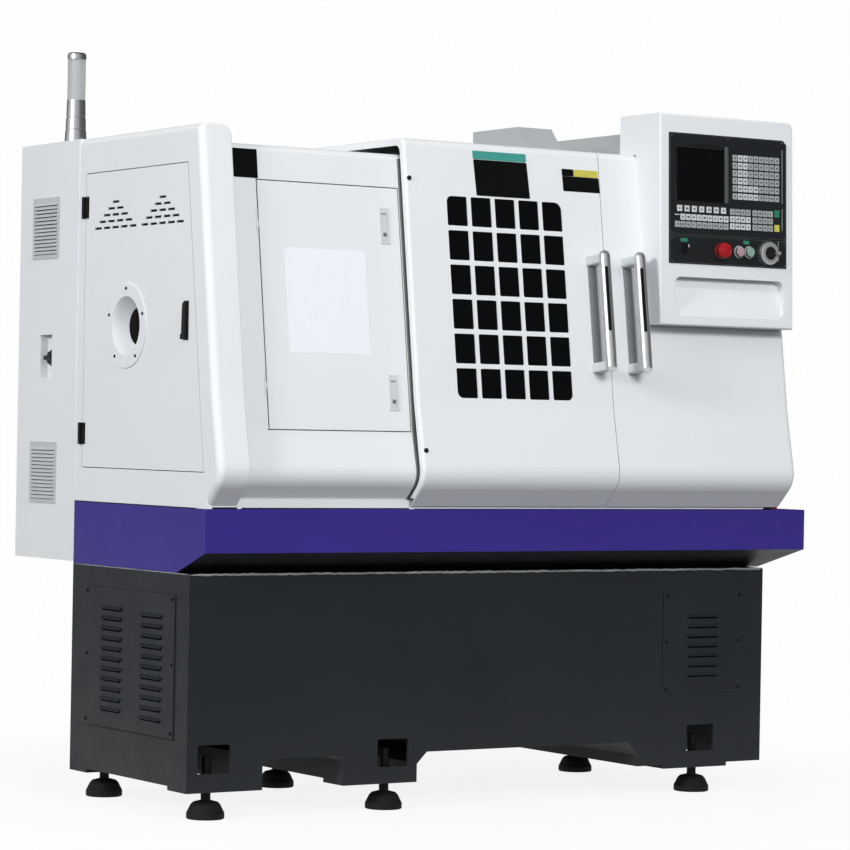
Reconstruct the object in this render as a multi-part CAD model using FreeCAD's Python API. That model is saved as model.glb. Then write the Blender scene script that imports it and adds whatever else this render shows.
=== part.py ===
import FreeCAD, Part
import math
import os

# A small flat-bed turning lathe under a full sheet-metal enclosure.
# Working axes while the pieces are made, in millimetres: x along the spindle from the
# headstock end (left), y from the front of the chip tray to the back, z up from the floor.
# At the end every piece is moved so that the origin is the floor point under the middle.

# ---------------------------------------------------------------- driving dimensions
TRAY_LENGTH = 1820.0
TRAY_DEPTH = 680.0
TRAY_TOP = 745.0
TRAY_LIP_HEIGHT = 105.0
TRAY_SLANT_DEPTH = 140.0
TRAY_SLANT_END = 44.0
TRAY_SHEET = 4.0
TRAY_RIM = 45.0

BASE_LENGTH = 1740.0
BASE_FRONT = 72.0
BASE_TOP = 588.0
BASE_RIM = 76.0
BASE_PLATE = 66.0
BASE_WALL = 8.0
TUNNEL_TOP = 140.0
FOOT_X = (77.0, 582.0, 1544.0)
FOOT_INSET = 42.0
FOOT_PAD_RADIUS = 46.0
FOOT_STUD_RADIUS = 12.0

SKIN = 3.0
COVER_TOP = 1660.0
COVER_TOP_FRONT = 60.0
BEND_Z = 1005.0
INNER_BEND_Z = 925.0
BELLY_FRONT = -67.3
BELLY_Z = 819.3
BELLY_RADIUS = 65.0
CROWN_RADIUS = 20.0
LIP_FRONT = 0.0
LIP_Z = 752.0
LEAN = 0.1376
LEAN_DEG = math.degrees(math.atan(LEAN))

END_COVER_WIDTH = 85.0
INNER_OFFSET = 28.0
INNER_TOP = 1620.0
LEFT_DOOR_START = 570.0
DOOR_SEAM = 1162.0
SEAM_GAP = 2.0
RAIL = (501.0, 512.0, 1640.0)
RIGHT_DOOR_END = 1740.0
DOOR_ROOF_BACK = 520.0
FLANGE = 18.0

CABINET_WIDTH = 700.0
CABINET_BACK = 1018.0
CABINET_BOTTOM = 592.0

SPINDLE_Y = 415.0
SPINDLE_Z = 1183.0
BED_TOP = 983.0
BED_HALF = 165.0
BULKHEAD_X = 588.0

CARRIAGE_X = 1040.0
CARRIAGE_TRAVEL = (-130.0, 260.0)
TOOL_POST_Y = 225.0
CROSS_TRAVEL = (-75.0, 80.0)
Z_SCREW_Y = 185.0
Z_SCREW_Z = 905.0
X_SCREW_Z = 1011.0
TAIL_X = 1450.0
SLIDE_GAP = 0.1

BOX_LEFT = 1285.0
BOX_RIGHT = 1722.0
BOX_TOP = 1763.0
BOX_BOTTOM = 1220.0
BOX_FRONT_TOP = -42.0
BOX_FRONT_BOTTOM = -58.0
BOX_BACK = 129.0

V = FreeCAD.Vector
X_AXIS = V(1, 0, 0)
Y_AXIS = V(0, 1, 0)
Z_AXIS = V(0, 0, 1)


# ---------------------------------------------------------------- helpers
def box(x0, x1, y0, y1, z0, z1):
    return Part.makeBox(x1 - x0, y1 - y0, z1 - z0, V(x0, y0, z0))


def rod(centre, axis, radius, length):
    return Part.makeCylinder(radius, length, V(*centre), axis)


def ring(centre, axis, outer, inner, length):
    return rod(centre, axis, outer, length).cut(rod(centre, axis, inner, length))


def joined(shapes):
    first, rest = shapes[0], shapes[1:]
    return first.fuse(rest).removeSplitter() if rest else first


def without(shape, cutters):
    return shape.cut(cutters) if cutters else shape


def outline(points, place):
    """Closed wire through (a, b) or (a, b, corner_radius) points, put in space by place."""
    count = len(points)
    edges = []
    starts = []
    for i, point in enumerate(points):
        here = V(point[0], point[1], 0)
        radius = point[2] if len(point) > 2 else 0.0
        if radius == 0.0:
            starts.append((here, here, None))
            continue
        before = points[i - 1]
        after = points[(i + 1) % count]
        u = (V(before[0], before[1], 0) - here).normalize()
        w = (V(after[0], after[1], 0) - here).normalize()
        half = u.getAngle(w) / 2
        reach = radius / math.tan(half)
        middle_way = (u + w).normalize()
        middle = here + middle_way * (radius / math.sin(half) - radius)
        starts.append((here + u * reach, here + w * reach, middle))
    for i, (enter, leave, middle) in enumerate(starts):
        if middle is not None:
            edges.append(Part.Arc(place(enter), place(middle), place(leave)).toShape())
        following = starts[(i + 1) % count][0]
        if (following - leave).Length > 1e-6:
            edges.append(Part.LineSegment(place(leave), place(following)).toShape())
    return Part.Wire(edges)


def prism_x(points, x0, x1):
    wire = outline(points, lambda p: V(x0, p.x, p.y))
    return Part.Face(wire).extrude(V(x1 - x0, 0, 0))


def prism_y(points, y0, y1):
    wire = outline(points, lambda p: V(p.x, y0, p.y))
    return Part.Face(wire).extrude(V(0, y1 - y0, 0))


def prism_z(points, z0, z1):
    wire = outline(points, lambda p: V(p.x, p.y, z0))
    return Part.Face(wire).extrude(V(0, 0, z1 - z0))


def turned_x(profile, y, z):
    """Solid of revolution about a line along x; profile is (x, radius) points."""
    points = [V(x, y, z + r) for x, r in profile]
    wire = Part.makePolygon(points + [points[0]])
    return Part.Face(wire).revolve(V(0, y, z), X_AXIS, 360)


def turned_z(profile, x, y):
    points = [V(x + r, y, z) for r, z in profile]
    wire = Part.makePolygon(points + [points[0]])
    return Part.Face(wire).revolve(V(x, y, 0), Z_AXIS, 360)


def fillet_where(shape, radius, test):
    edges = [e for e in shape.Edges if test(e)]
    return shape.makeFillet(radius, edges) if edges else shape


def edge_mid(edge):
    return edge.valueAt((edge.FirstParameter + edge.LastParameter) / 2)


def skin_y(z):
    """Outer face of the leaning front, above the bend of the belly."""
    return COVER_TOP_FRONT - LEAN * (COVER_TOP - z)


def on_lean(shape, pivot_z=COVER_TOP):
    """Tip a piece made upright on the plane y = 0 onto the leaning front."""
    moved = shape.copy()
    moved.rotate(V(0, 0, pivot_z), X_AXIS, -LEAN_DEG)
    moved.translate(V(0, skin_y(pivot_z), 0))
    return moved


def lean_length(z_low, z_high):
    return (z_high - z_low) / math.cos(math.radians(LEAN_DEG))


# ---------------------------------------------------------------- enclosure sections
def front_points(offset, lip_z, top, crown):
    """Front line from the top edge down to the lip, moved back by offset."""
    run = LIP_FRONT - BELLY_FRONT
    drop = BELLY_Z - LIP_Z
    lip_y = BELLY_FRONT + run * (BELLY_Z - lip_z) / drop
    bend_z, bend_radius = (BEND_Z, 500.0) if offset < INNER_OFFSET else (INNER_BEND_Z, 180.0)
    return [
        (skin_y(top) + offset, top, crown),
        (skin_y(bend_z) + offset, bend_z, bend_radius),
        (BELLY_FRONT + offset, BELLY_Z, BELLY_RADIUS - offset * 0.5),
        (lip_y + offset, lip_z),
    ]


def hood(x0, x1, offset, back, top, lip_z=LIP_Z, bottom=None, crown=CROWN_RADIUS):
    """Solid under the front line, from the roof line down, back to the plane y = back."""
    points = front_points(offset, lip_z, top, crown)
    low = lip_z if bottom is None else bottom
    if low < lip_z:
        points.append((points[-1][0], low))
    points += [(back, low), (back, top)]
    return prism_x(points, x0, x1)


# ---------------------------------------------------------------- base, tray and feet
def machine_base():
    front = [
        (0, BASE_RIM), (0, BASE_TOP), (BASE_LENGTH, BASE_TOP), (BASE_LENGTH, BASE_RIM),
        (1334, BASE_RIM), (1334, 104), (1303, TUNNEL_TOP), (681, TUNNEL_TOP), (652, 111),
        (652, BASE_RIM), (437, BASE_RIM), (437, TUNNEL_TOP, 14), (209, TUNNEL_TOP, 14), (209, BASE_RIM),
    ]
    w = BASE_WALL
    floor = TUNNEL_TOP + w
    below = BASE_RIM - 20
    hollow = [
        (w, below), (w, BASE_TOP - 10), (BASE_LENGTH - w, BASE_TOP - 10), (BASE_LENGTH - w, below),
        (1334 + w, below), (1334 + w, 107), (1307, floor), (677, floor), (652 - w, 114),
        (652 - w, below), (437 + w, below), (437 + w, floor), (209 - w, floor), (209 - w, below),
    ]
    body = prism_y(front, BASE_FRONT, TRAY_DEPTH)
    body = body.cut(prism_y(hollow, BASE_FRONT + w, TRAY_DEPTH - w))
    plate_spans = ((0, 209), (437, 652), (1420, 1627))
    plates = []
    for x0, x1 in plate_spans:
        for y0, y1 in ((BASE_FRONT, 165), (TRAY_DEPTH - 93, TRAY_DEPTH)):
            plates.append(box(x0, x1, y0, y1, BASE_PLATE, BASE_PLATE + 16))
    body = joined([body] + plates)
    cuts = []
    for x0, z0 in ((30, 111), (536, 107), (1494, 109)):
        pocket = [(x0, z0, 4), (x0 + 90, z0, 4), (x0 + 90, z0 + 69, 4), (x0, z0 + 69, 4)]
        cuts.append(prism_y(pocket, BASE_FRONT - 1, BASE_FRONT + w + 1))
        cuts.append(prism_y(pocket, TRAY_DEPTH - w - 1, TRAY_DEPTH + 1))
    for x, y in foot_places():
        cuts.append(rod((x, y, BASE_PLATE - 1), Z_AXIS, FOOT_STUD_RADIUS + 0.2, 20))
    cuts.append(belt_slot(BASE_TOP - 20, BASE_TOP + 1))
    cuts.append(box(-1, w + 1, 150, 595, 205, 520))
    cuts.append(box(1440, 1640, BASE_FRONT - 1, BASE_FRONT + w + 1, 290, 500))
    return without(body, cuts)


def belt_slot(z0, z1):
    return box(118, 202, 300, 530, z0, z1)


def foot_places():
    front = BASE_FRONT + FOOT_INSET
    back = TRAY_DEPTH - FOOT_INSET
    return [(x, y) for x in FOOT_X for y in (front, back)]


def louvred_plate(width, height, columns, rows, slat, pitch, top_margin):
    """Flat cover plate in the y-z plane at x = 0, pressed with rows of small hooded slots."""
    plate = box(-2, 0, 0, width, 0, height)
    hoods = []
    slots = []
    for y0, rise in columns:
        for row in range(rows):
            z = height - top_margin - row * pitch + rise
            hood_points = [(-2, z + 5), (-8, z - 2), (-8, z - 3), (-2, z - 3)]
            wire = outline(hood_points, lambda p, y=y0: V(p.x, y, p.y))
            hoods.append(Part.Face(wire).extrude(V(0, slat, 0)))
            slots.append(box(-6.5, 1, y0 + 2, y0 + slat - 2, z - 7.5, z - 0.5))
    return joined([plate] + hoods).cut(slots)


def base_plates():
    side = louvred_plate(465, 345, ((62, 0), (270, 6)), 11, 105, 25.0, 55)
    side.translate(V(0, 140, 190))
    front = louvred_plate(262, 268, ((82, 0),), 7, 98, 25.5, 66)
    front.rotate(V(0, 0, 0), Z_AXIS, 90)
    front.translate(V(1410 + 262, BASE_FRONT, 262))
    return {"side_louvre_plate": side, "front_louvre_plate": front}


def chip_tray():
    under = TRAY_TOP - TRAY_LIP_HEIGHT
    t = TRAY_SHEET
    section = [(0, TRAY_TOP), (0, under), (TRAY_SLANT_DEPTH, BASE_TOP), (TRAY_DEPTH, BASE_TOP), (TRAY_DEPTH, TRAY_TOP)]
    inner = [
        (t, TRAY_TOP + 1), (t, under + 0.7 * t), (TRAY_SLANT_DEPTH + 0.4 * t, BASE_TOP + t),
        (TRAY_DEPTH - t, BASE_TOP + t), (TRAY_DEPTH - t, TRAY_TOP + 1),
    ]
    end_cut = [
        (TRAY_LENGTH, under), (TRAY_LENGTH + 5, under), (TRAY_LENGTH + 5, BASE_TOP - 5),
        (TRAY_LENGTH - TRAY_SLANT_END - 4, BASE_TOP - 5), (TRAY_LENGTH - TRAY_SLANT_END, BASE_TOP),
    ]
    end_in = [(x - 1.2 * t, z + 0.8 * t) for x, z in end_cut]
    pan = prism_x(section, 0, TRAY_LENGTH).cut(prism_y(end_cut, -5, TRAY_DEPTH + 5))
    space = prism_x(inner, t, TRAY_LENGTH - t).cut(prism_y(end_in, -5, TRAY_DEPTH + 5))
    pan = pan.cut(space)
    rim = box(t, TRAY_LENGTH - t, t, TRAY_DEPTH - t, TRAY_TOP - 3, TRAY_TOP)
    rim = rim.cut(box(TRAY_RIM, TRAY_LENGTH - TRAY_RIM, TRAY_RIM, TRAY_DEPTH - TRAY_RIM, TRAY_TOP - 4, TRAY_TOP + 1))
    return joined([pan, rim]).cut(belt_slot(BASE_TOP - 1, BASE_TOP + t + 1))


def feet():
    studs = []
    nuts = []
    pads = []
    r = FOOT_PAD_RADIUS
    for x, y in foot_places():
        studs.append(rod((x, y, 40), Z_AXIS, FOOT_STUD_RADIUS, 110))
        hexagon = [(x + 18 * math.cos(math.radians(60 * k)), y + 18 * math.sin(math.radians(60 * k))) for k in range(6)]
        nut = prism_z(hexagon, BASE_PLATE + 16, BASE_PLATE + 32).cut(rod((x, y, 60), Z_AXIS, FOOT_STUD_RADIUS, 60))
        nuts.append(nut)
        dome = [(0, 0), (r - 2, 0), (r, 2), (r, 14), (r - 10, 34), (r - 16, 40), (r - 31, 44), (0, 44)]
        pad = turned_z(dome, x, y)
        pads.append(pad.cut(rod((x, y, 40), Z_AXIS, FOOT_STUD_RADIUS, 20)))
    return {
        "foot_studs": Part.makeCompound(studs),
        "foot_lock_nuts": Part.makeCompound(nuts),
        "foot_pads": Part.makeCompound(pads),
    }


# ---------------------------------------------------------------- left end cover and its door
END_DOOR_BACK = 642.0
END_DOOR_LOW = 832.0
END_DOOR_HIGH = 1568.0
END_DOOR_MARGIN = 70.0
GUIDE_RADIUS = 105.0
HINGE_OUT = 5.0


def end_door_outline(grow):
    low_front = skin_y(END_DOOR_LOW) + END_DOOR_MARGIN
    high_front = skin_y(END_DOOR_HIGH) + END_DOOR_MARGIN
    return [
        (high_front - grow, END_DOOR_HIGH + grow, 3), (END_DOOR_BACK + grow, END_DOOR_HIGH + grow, 3),
        (END_DOOR_BACK + grow, END_DOOR_LOW - grow, 3), (low_front - grow, END_DOOR_LOW - grow, 3),
    ]


def left_end_cover():
    width = END_COVER_WIDTH
    body = hood(0, width, 0, TRAY_DEPTH, COVER_TOP, LIP_Z, TRAY_TOP, 0.0)

    def top_right(edge):
        p = edge_mid(edge)
        return abs(p.x - width) < 0.01 and abs(p.z - COVER_TOP) < 0.01

    def front_right(edge):
        p = edge_mid(edge)
        return abs(p.x - width) < 0.01 and p.y < COVER_TOP_FRONT - 1 and p.z > TRAY_TOP + 1

    def front_left(edge):
        p = edge_mid(edge)
        return abs(p.x) < 0.01 and p.y < COVER_TOP_FRONT - 1 and p.z > LIP_Z

    body = fillet_where(body, 28, top_right)
    body = fillet_where(body, 5, front_right)
    body = fillet_where(body, 18, front_left)
    inside = hood(SKIN, width - SKIN, SKIN, TRAY_DEPTH - SKIN, COVER_TOP - SKIN, LIP_Z, TRAY_TOP - 1, 0.0)

    def inner_top_right(edge):
        p = edge_mid(edge)
        return abs(p.x - (width - SKIN)) < 0.01 and abs(p.z - (COVER_TOP - SKIN)) < 0.01

    def inner_left(edge):
        p = edge_mid(edge)
        on_front = p.y < COVER_TOP_FRONT + 2 and p.z > LIP_Z
        on_top = abs(p.z - (COVER_TOP - SKIN)) < 0.01
        return abs(p.x - SKIN) < 0.01 and (on_front or on_top)

    inside = fillet_where(inside, 25, inner_top_right)
    inside = fillet_where(inside, 15, inner_left)
    mouth = hood(width - 10, width + 1, INNER_OFFSET + SKIN, TRAY_DEPTH + 1, INNER_TOP, 768.0, TRAY_TOP - 1)
    opening = prism_x(end_door_outline(2), -1, SKIN + 1)
    return body.cut([inside, mouth, opening])


def vent_triangle(middle, top, rows, pitch_y, pitch_z, length, height):
    slots = []
    for row in range(rows):
        for k in range(row + 1):
            y = middle + (k - row / 2) * pitch_y
            z = top - row * pitch_z
            slots.append(box(-1, SKIN + 1, y - length / 2, y + length / 2, z - height / 2, z + height / 2))
    return slots


def end_door():
    sheet = prism_x(end_door_outline(0), 0, SKIN)
    rim = prism_x(end_door_outline(-1), SKIN, 16).cut(prism_x(end_door_outline(-1 - SKIN), SKIN - 1, 17))
    door = joined([sheet, rim])
    cuts = vent_triangle(483, 1492, 5, 46, 15.8, 34, 4) + vent_triangle(240, 1492, 5, 45, 15.8, 33, 4)
    cuts.append(rod((-1, SPINDLE_Y, SPINDLE_Z), X_AXIS, 80, 20))
    return door.cut(cuts)


def spindle_guide():
    far = 32.0
    profile = [(-3, 73), (-3, GUIDE_RADIUS - 1), (-2, GUIDE_RADIUS), (0, GUIDE_RADIUS), (0, 79), (3, 76.5), (far, 49), (far, 46)]
    return turned_x(profile, SPINDLE_Y, SPINDLE_Z)


def pin_hinge(x, y, z0, height, leaf_dir, fixed_dir, radius=4.5, leaf=16.0, thick=3.0):
    """Butt hinge with its pin along z: the fixed half has the two outer knuckles and the pin."""
    knuckle = height / 3
    gap = 0.3
    fixed = []
    for z in (z0, z0 + 2 * knuckle):
        fixed.append(rod((x, y, z), Z_AXIS, radius, knuckle))
    fixed.append(rod((x, y, z0), Z_AXIS, radius * 0.45, height))
    fixed = joined(fixed)
    turning = ring((x, y, z0 + knuckle + gap), Z_AXIS, radius, radius * 0.45 + 0.05, knuckle - 2 * gap)
    flat = radius

    def leaf_box(direction, low, high):
        dx, dy = direction
        x0, x1 = sorted((x, x + dx * leaf)) if dx else (x - flat, x - flat + thick)
        y0, y1 = sorted((y, y + dy * leaf)) if dy else (y - flat, y - flat + thick)
        return box(x0, x1, y0, y1, low, high)

    return fixed, turning, leaf_box


END_HINGE_X = -4.5
END_HINGE_Y = END_DOOR_BACK + 6.0
END_HINGE_HEIGHT = 54.0
END_HINGE_Z = (889.0, 1457.0)


def end_door_hinges():
    """Black butt hinges on the face: one leaf on the cover, one on the door."""
    fixed_halves = []
    door_halves = []
    r = 4.5
    third = END_HINGE_HEIGHT / 3
    for z0 in END_HINGE_Z:
        x, y = END_HINGE_X, END_HINGE_Y
        low = joined([rod((x, y, z0), Z_AXIS, r, third), box(-3, 0, y, y + 15, z0, z0 + third)])
        high = joined([rod((x, y, z0 + 2 * third), Z_AXIS, r, third), box(-3, 0, y, y + 15, z0 + 2 * third, z0 + 3 * third)])
        strap = box(-3, 0, y + 7, y + 15, z0, z0 + 3 * third)
        pin = rod((x, y, z0), Z_AXIS, 2.0, 3 * third)
        fixed_halves.append(joined([low, high, strap, pin]))
        middle = rod((x, y, z0 + third + 0.3), Z_AXIS, r, third - 0.6)
        plate = box(-3, 0, y - 21, y, z0 + third + 0.3, z0 + 2 * third - 0.3)
        wing = box(-3, 0, y - 21, y - 7, z0, z0 + 3 * third)
        turning = joined([middle, plate, wing]).cut(rod((x, y, z0 - 1), Z_AXIS, 2.06, 3 * third + 2))
        door_halves.append(turning)
    return Part.makeCompound(fixed_halves), Part.makeCompound(door_halves)


LOCK_Y = 112.0
LOCK_LOW = 1144.0
LOCK_HIGH = 1238.0


def end_door_lock():
    """Black swing handle: a body on the door and a lever hinged at its lower end."""
    half = 12.0
    body = box(-3.5, 0, LOCK_Y - half, LOCK_Y + half, LOCK_LOW, LOCK_HIGH)
    body = fillet_where(body, 3, lambda e: abs(edge_mid(e).x + 3.5) < 0.01)
    ears = [box(-11, -3.5, LOCK_Y + s * 9 - 1.5, LOCK_Y + s * 9 + 1.5, LOCK_LOW + 2, LOCK_LOW + 14) for s in (-1, 1)]
    body = joined([body] + ears)
    pin_z = LOCK_LOW + 8
    body = body.fuse(rod((-7.5, LOCK_Y - 10, pin_z), Y_AXIS, 1.5, 20))
    lever = prism_y([(-10.5, LOCK_LOW + 5, 2.9), (-4.5, LOCK_LOW + 5, 2.9), (-4.5, LOCK_HIGH - 5), (-8.5, LOCK_HIGH - 5, 2)], LOCK_Y - 7, LOCK_Y + 7)
    lever = lever.cut(rod((-7.5, LOCK_Y - 10, pin_z), Y_AXIS, 1.56, 20))
    return body, lever


# ---------------------------------------------------------------- headstock cover and access door
ACCESS_LEFT = 163.0
ACCESS_RIGHT = 562.0
ACCESS_LOW = 936.0
ACCESS_HIGH = 1533.0
ACCESS_GAP = 2.5
ACCESS_HINGE_X = ACCESS_LEFT - 4.5
ACCESS_HINGE_DEPTH = 4.0
ACCESS_HINGE_Z = (ACCESS_LOW + 80, ACCESS_HIGH - 130)
INNER_LEAN_BASE = skin_y(COVER_TOP) + INNER_OFFSET


def on_inner_lean(shape):
    moved = on_lean(shape)
    moved.translate(V(0, INNER_OFFSET, 0))
    return moved


def lean_z(z):
    """Height on an upright blank that lands at height z once the blank is tipped."""
    return COVER_TOP - (COVER_TOP - z) / math.cos(math.radians(LEAN_DEG))


def headstock_cover():
    x0, x1 = END_COVER_WIDTH, BULKHEAD_X + SKIN
    lip = 768.0
    outer = hood(x0, x1, INNER_OFFSET, TRAY_DEPTH, INNER_TOP, lip)
    inner = hood(x0 - 1, x1 + 1, INNER_OFFSET + SKIN, TRAY_DEPTH + 1, INNER_TOP - SKIN, lip, lip - 5, CROWN_RADIUS - SKIN)
    shell = outer.cut(inner)
    g = ACCESS_GAP
    frame = box(ACCESS_HINGE_X, ACCESS_RIGHT + g, -20, 20, lean_z(ACCESS_LOW - g), lean_z(ACCESS_HIGH + g))
    slots = []
    for z in ACCESS_HINGE_Z:
        base = lean_z(z)
        slots.append(on_inner_lean(box(ACCESS_HINGE_X - 4, ACCESS_LEFT, -1, 9, base - 1, base + 51.4)))
    return shell.cut([on_inner_lean(frame)] + slots)


def access_door():
    z0, z1 = lean_z(ACCESS_LOW), lean_z(ACCESS_HIGH)
    x0, x1 = ACCESS_LEFT, ACCESS_RIGHT
    sheet = box(x0, x1, 0, SKIN, z0, z1)
    flanges = [
        box(x1 - SKIN, x1, SKIN, 14, z0, z1),
        box(x0 + 30, x1 - SKIN, SKIN, 14, z0, z0 + SKIN),
        box(x0 + 30, x1 - SKIN, SKIN, 14, z1 - SKIN, z1),
    ]
    door = joined([sheet] + flanges)
    cuts = []
    for low, high in ACCESS_LATCH_SPANS:
        a, b = lean_z(low), lean_z(high)
        cuts.append(box(LATCH_X - 10, LATCH_X + 10, -1, SKIN + 1, a + 6, b - 6))
    return on_inner_lean(door.cut(cuts))


LATCH_X = 518.0
ACCESS_LATCH_SPANS = ((985.0, 1073.0), (1394.0, 1484.0))


def access_hinges():
    """Two pins on small brackets, one half on the cover and one on the door."""
    fixed = []
    turning = []
    x, d = ACCESS_HINGE_X, ACCESS_HINGE_DEPTH
    for z in ACCESS_HINGE_Z:
        base = lean_z(z)
        knuckles = [rod((x, d, base + k * 17), Z_AXIS, 3.0, 16.4) for k in (0, 2)]
        strap = [box(x - 22, x, d + 2.0, d + 3.0, base + k * 17, base + k * 17 + 16.4) for k in (0, 2)]
        back = box(x - 22, x - 6, SKIN, d + 3.0, base, base + 50.4)
        pin = rod((x, d, base), Z_AXIS, 1.5, 50.4)
        fixed.append(on_inner_lean(joined(knuckles + strap + [back, pin])))
        middle = rod((x, d, base + 17), Z_AXIS, 3.0, 16.4)
        arm = box(x, ACCESS_LEFT + 25, SKIN, d + 2.5, base + 17, base + 33.4)
        hole = rod((x, d, base - 1), Z_AXIS, 1.56, 60)
        turning.append(on_inner_lean(joined([middle, arm]).cut(hole)))
    return Part.makeCompound(fixed), Part.makeCompound(turning)


def access_latch(span):
    """Flush paddle latch: a frame round a lever that lifts out at its lower end."""
    a, b = lean_z(span[0]), lean_z(span[1])
    w = 14.0
    frame = box(LATCH_X - w, LATCH_X + w, -2.5, 0, a, b)
    frame = fillet_where(frame, 1.5, lambda e: abs(edge_mid(e).y + 2.5) < 0.01)
    neck = box(LATCH_X - 9.5, LATCH_X + 9.5, 0, 12, a + 6.5, b - 6.5)
    frame = joined([frame, neck])
    frame = frame.cut(box(LATCH_X - 7, LATCH_X + 7, -3, 9, a + 9, b - 15))
    pin_z = b - 20
    pin = rod((LATCH_X - 8, 1.5, pin_z), X_AXIS, 1.2, 16)
    lever = box(LATCH_X - 6.6, LATCH_X + 6.6, -2.0, 4.0, a + 9.5, b - 17.4)
    lever = lever.cut(rod((LATCH_X - 9, 1.5, pin_z), X_AXIS, 1.26, 18))
    return on_inner_lean(frame.fuse(pin)), on_inner_lean(lever)


# ---------------------------------------------------------------- sliding doors
WINDOW_LEFT = 688.5
WINDOW_TOP = 1522.0
PANE_WIDTH = 61.0
PANE_HEIGHT = 74.5
PANE_PITCH_X = 72.2
PANE_PITCH_Z = 85.6
PANE_COLUMNS = 5
PANE_ROWS = 6


def round_end(body, x, radius):
    """Round the front and roof edges of a door body at its end x."""
    def at_end(edge):
        p = edge_mid(edge)
        flat = abs(edge.Vertexes[0].X - x) < 0.01 and abs(edge.Vertexes[-1].X - x) < 0.01
        return flat and p.z > LIP_Z + 0.5 and p.y < DOOR_ROOF_BACK - 0.5

    return fillet_where(body, radius, at_end)


def door_shell(x0, x1, left_radius, right_radius, right_wall):
    """Front skin and roof of a sliding door with narrow returns at its two ends."""
    outer = hood(x0, x1, 0, DOOR_ROOF_BACK, COVER_TOP)
    inner = hood(x0 + SKIN, x1 - SKIN, SKIN, DOOR_ROOF_BACK + 1, COVER_TOP - SKIN, LIP_Z, LIP_Z - 5, CROWN_RADIUS - SKIN)
    if left_radius:
        outer = round_end(outer, x0, left_radius)
        inner = round_end(inner, x0 + SKIN, left_radius - SKIN)
    if right_radius:
        outer = round_end(outer, x1, right_radius)
        inner = round_end(inner, x1 - SKIN, right_radius - SKIN)
    shell = outer.cut(inner)
    cuts = []
    for a, is_wall in ((x0, False), (x1 - SKIN, right_wall)):
        if not is_wall:
            cuts.append(hood(a - 1, a + SKIN + 1, FLANGE, DOOR_ROOF_BACK + 1, COVER_TOP - FLANGE))
        wall = hood(a - 1, a + SKIN + 1, SKIN, DOOR_ROOF_BACK + 1, COVER_TOP - SKIN)
        cuts.append(wall.common(box(a - 5, a + SKIN + 5, -200, 800, 600, 772)))
        cuts.append(box(a - 1, a + SKIN + 1, RAIL[0] - 4, RAIL[1] + 4, 1600, RAIL[2] + 3))
    back_flange = box(x0, x1, DOOR_ROOF_BACK - SKIN, DOOR_ROOF_BACK, COVER_TOP - 16, COVER_TOP - SKIN)
    if right_radius:
        back_flange = back_flange.cut(box(x1 - right_radius, x1 + 1, 0, 900, COVER_TOP - 17, COVER_TOP))
    if left_radius:
        back_flange = back_flange.cut(box(x0 - 1, x0 + left_radius, 0, 900, COVER_TOP - 17, COVER_TOP))
    return joined([shell.cut(cuts), back_flange])


def window_panes(x_shift=0.0):
    panes = []
    for col in range(PANE_COLUMNS):
        for row in range(PANE_ROWS):
            x0 = WINDOW_LEFT + col * PANE_PITCH_X
            z1 = lean_z(WINDOW_TOP - row * PANE_PITCH_Z)
            z0 = z1 - PANE_HEIGHT
            x1 = x0 + PANE_WIDTH
            corner = {}
            if col == 0 and row == 0:
                corner["tl"] = 16
            if col == PANE_COLUMNS - 1 and row == 0:
                corner["tr"] = 22
            if col == 0 and row == PANE_ROWS - 1:
                corner["bl"] = 16
            if col == PANE_COLUMNS - 1 and row == PANE_ROWS - 1:
                corner["br"] = 16
            points = [
                (x0, z1, corner.get("tl", 4)), (x1, z1, corner.get("tr", 4)),
                (x1, z0, corner.get("br", 4)), (x0, z0, corner.get("bl", 4)),
            ]
            panes.append(on_lean(prism_y(points, -10, SKIN + 6)))
    return panes


LAMP_BOX = (985.0, 1090.0, 112.0, 369.0, 1720.0)


def left_door():
    shell = door_shell(LEFT_DOOR_START, DOOR_SEAM - SEAM_GAP / 2, 8.0, 0.0, False)
    x0, x1, y0, y1, _ = LAMP_BOX
    lamp_hole = box(x0 + 10, x1 - 10, y0 + 55, y1 - 20, COVER_TOP - SKIN - 1, COVER_TOP + 1)
    return shell.cut(window_panes() + [lamp_hole])


def roof_hood():
    """Small sloping housing on the roof of the left door."""
    x0, x1, y0, y1, top = LAMP_BOX
    rise = top - COVER_TOP
    outer = prism_x([(y0, COVER_TOP), (y0 + rise * 0.85, top), (y1, top), (y1, COVER_TOP)], x0, x1)
    inner = prism_x([(y0 + 4, COVER_TOP - 1), (y0 + 4 + rise * 0.8, top - 2), (y1 - 2, top - 2), (y1 - 2, COVER_TOP - 1)], x0 + 2, x1 - 2)
    return outer.cut(inner)


def window_glass():
    x0 = WINDOW_LEFT - 14
    x1 = WINDOW_LEFT + (PANE_COLUMNS - 1) * PANE_PITCH_X + PANE_WIDTH + 14
    z0 = lean_z(WINDOW_TOP - (PANE_ROWS - 1) * PANE_PITCH_Z) - PANE_HEIGHT - 14
    z1 = lean_z(WINDOW_TOP) + 14
    return on_lean(box(x0, x1, SKIN, SKIN + 5, z0, z1))


HANDLE_LOW = 1086.0
HANDLE_HIGH = 1396.0
HANDLE_STAND = 56.4
HANDLE_RADIUS = 14.6
HANDLE_BAR_SHIFT = 1.5
LEFT_HANDLE_X = 1120.5
RIGHT_HANDLE_X = 1232.0
GRIP_LINE = (1189.0, 1353.0, 8.4, 24.0)


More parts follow.
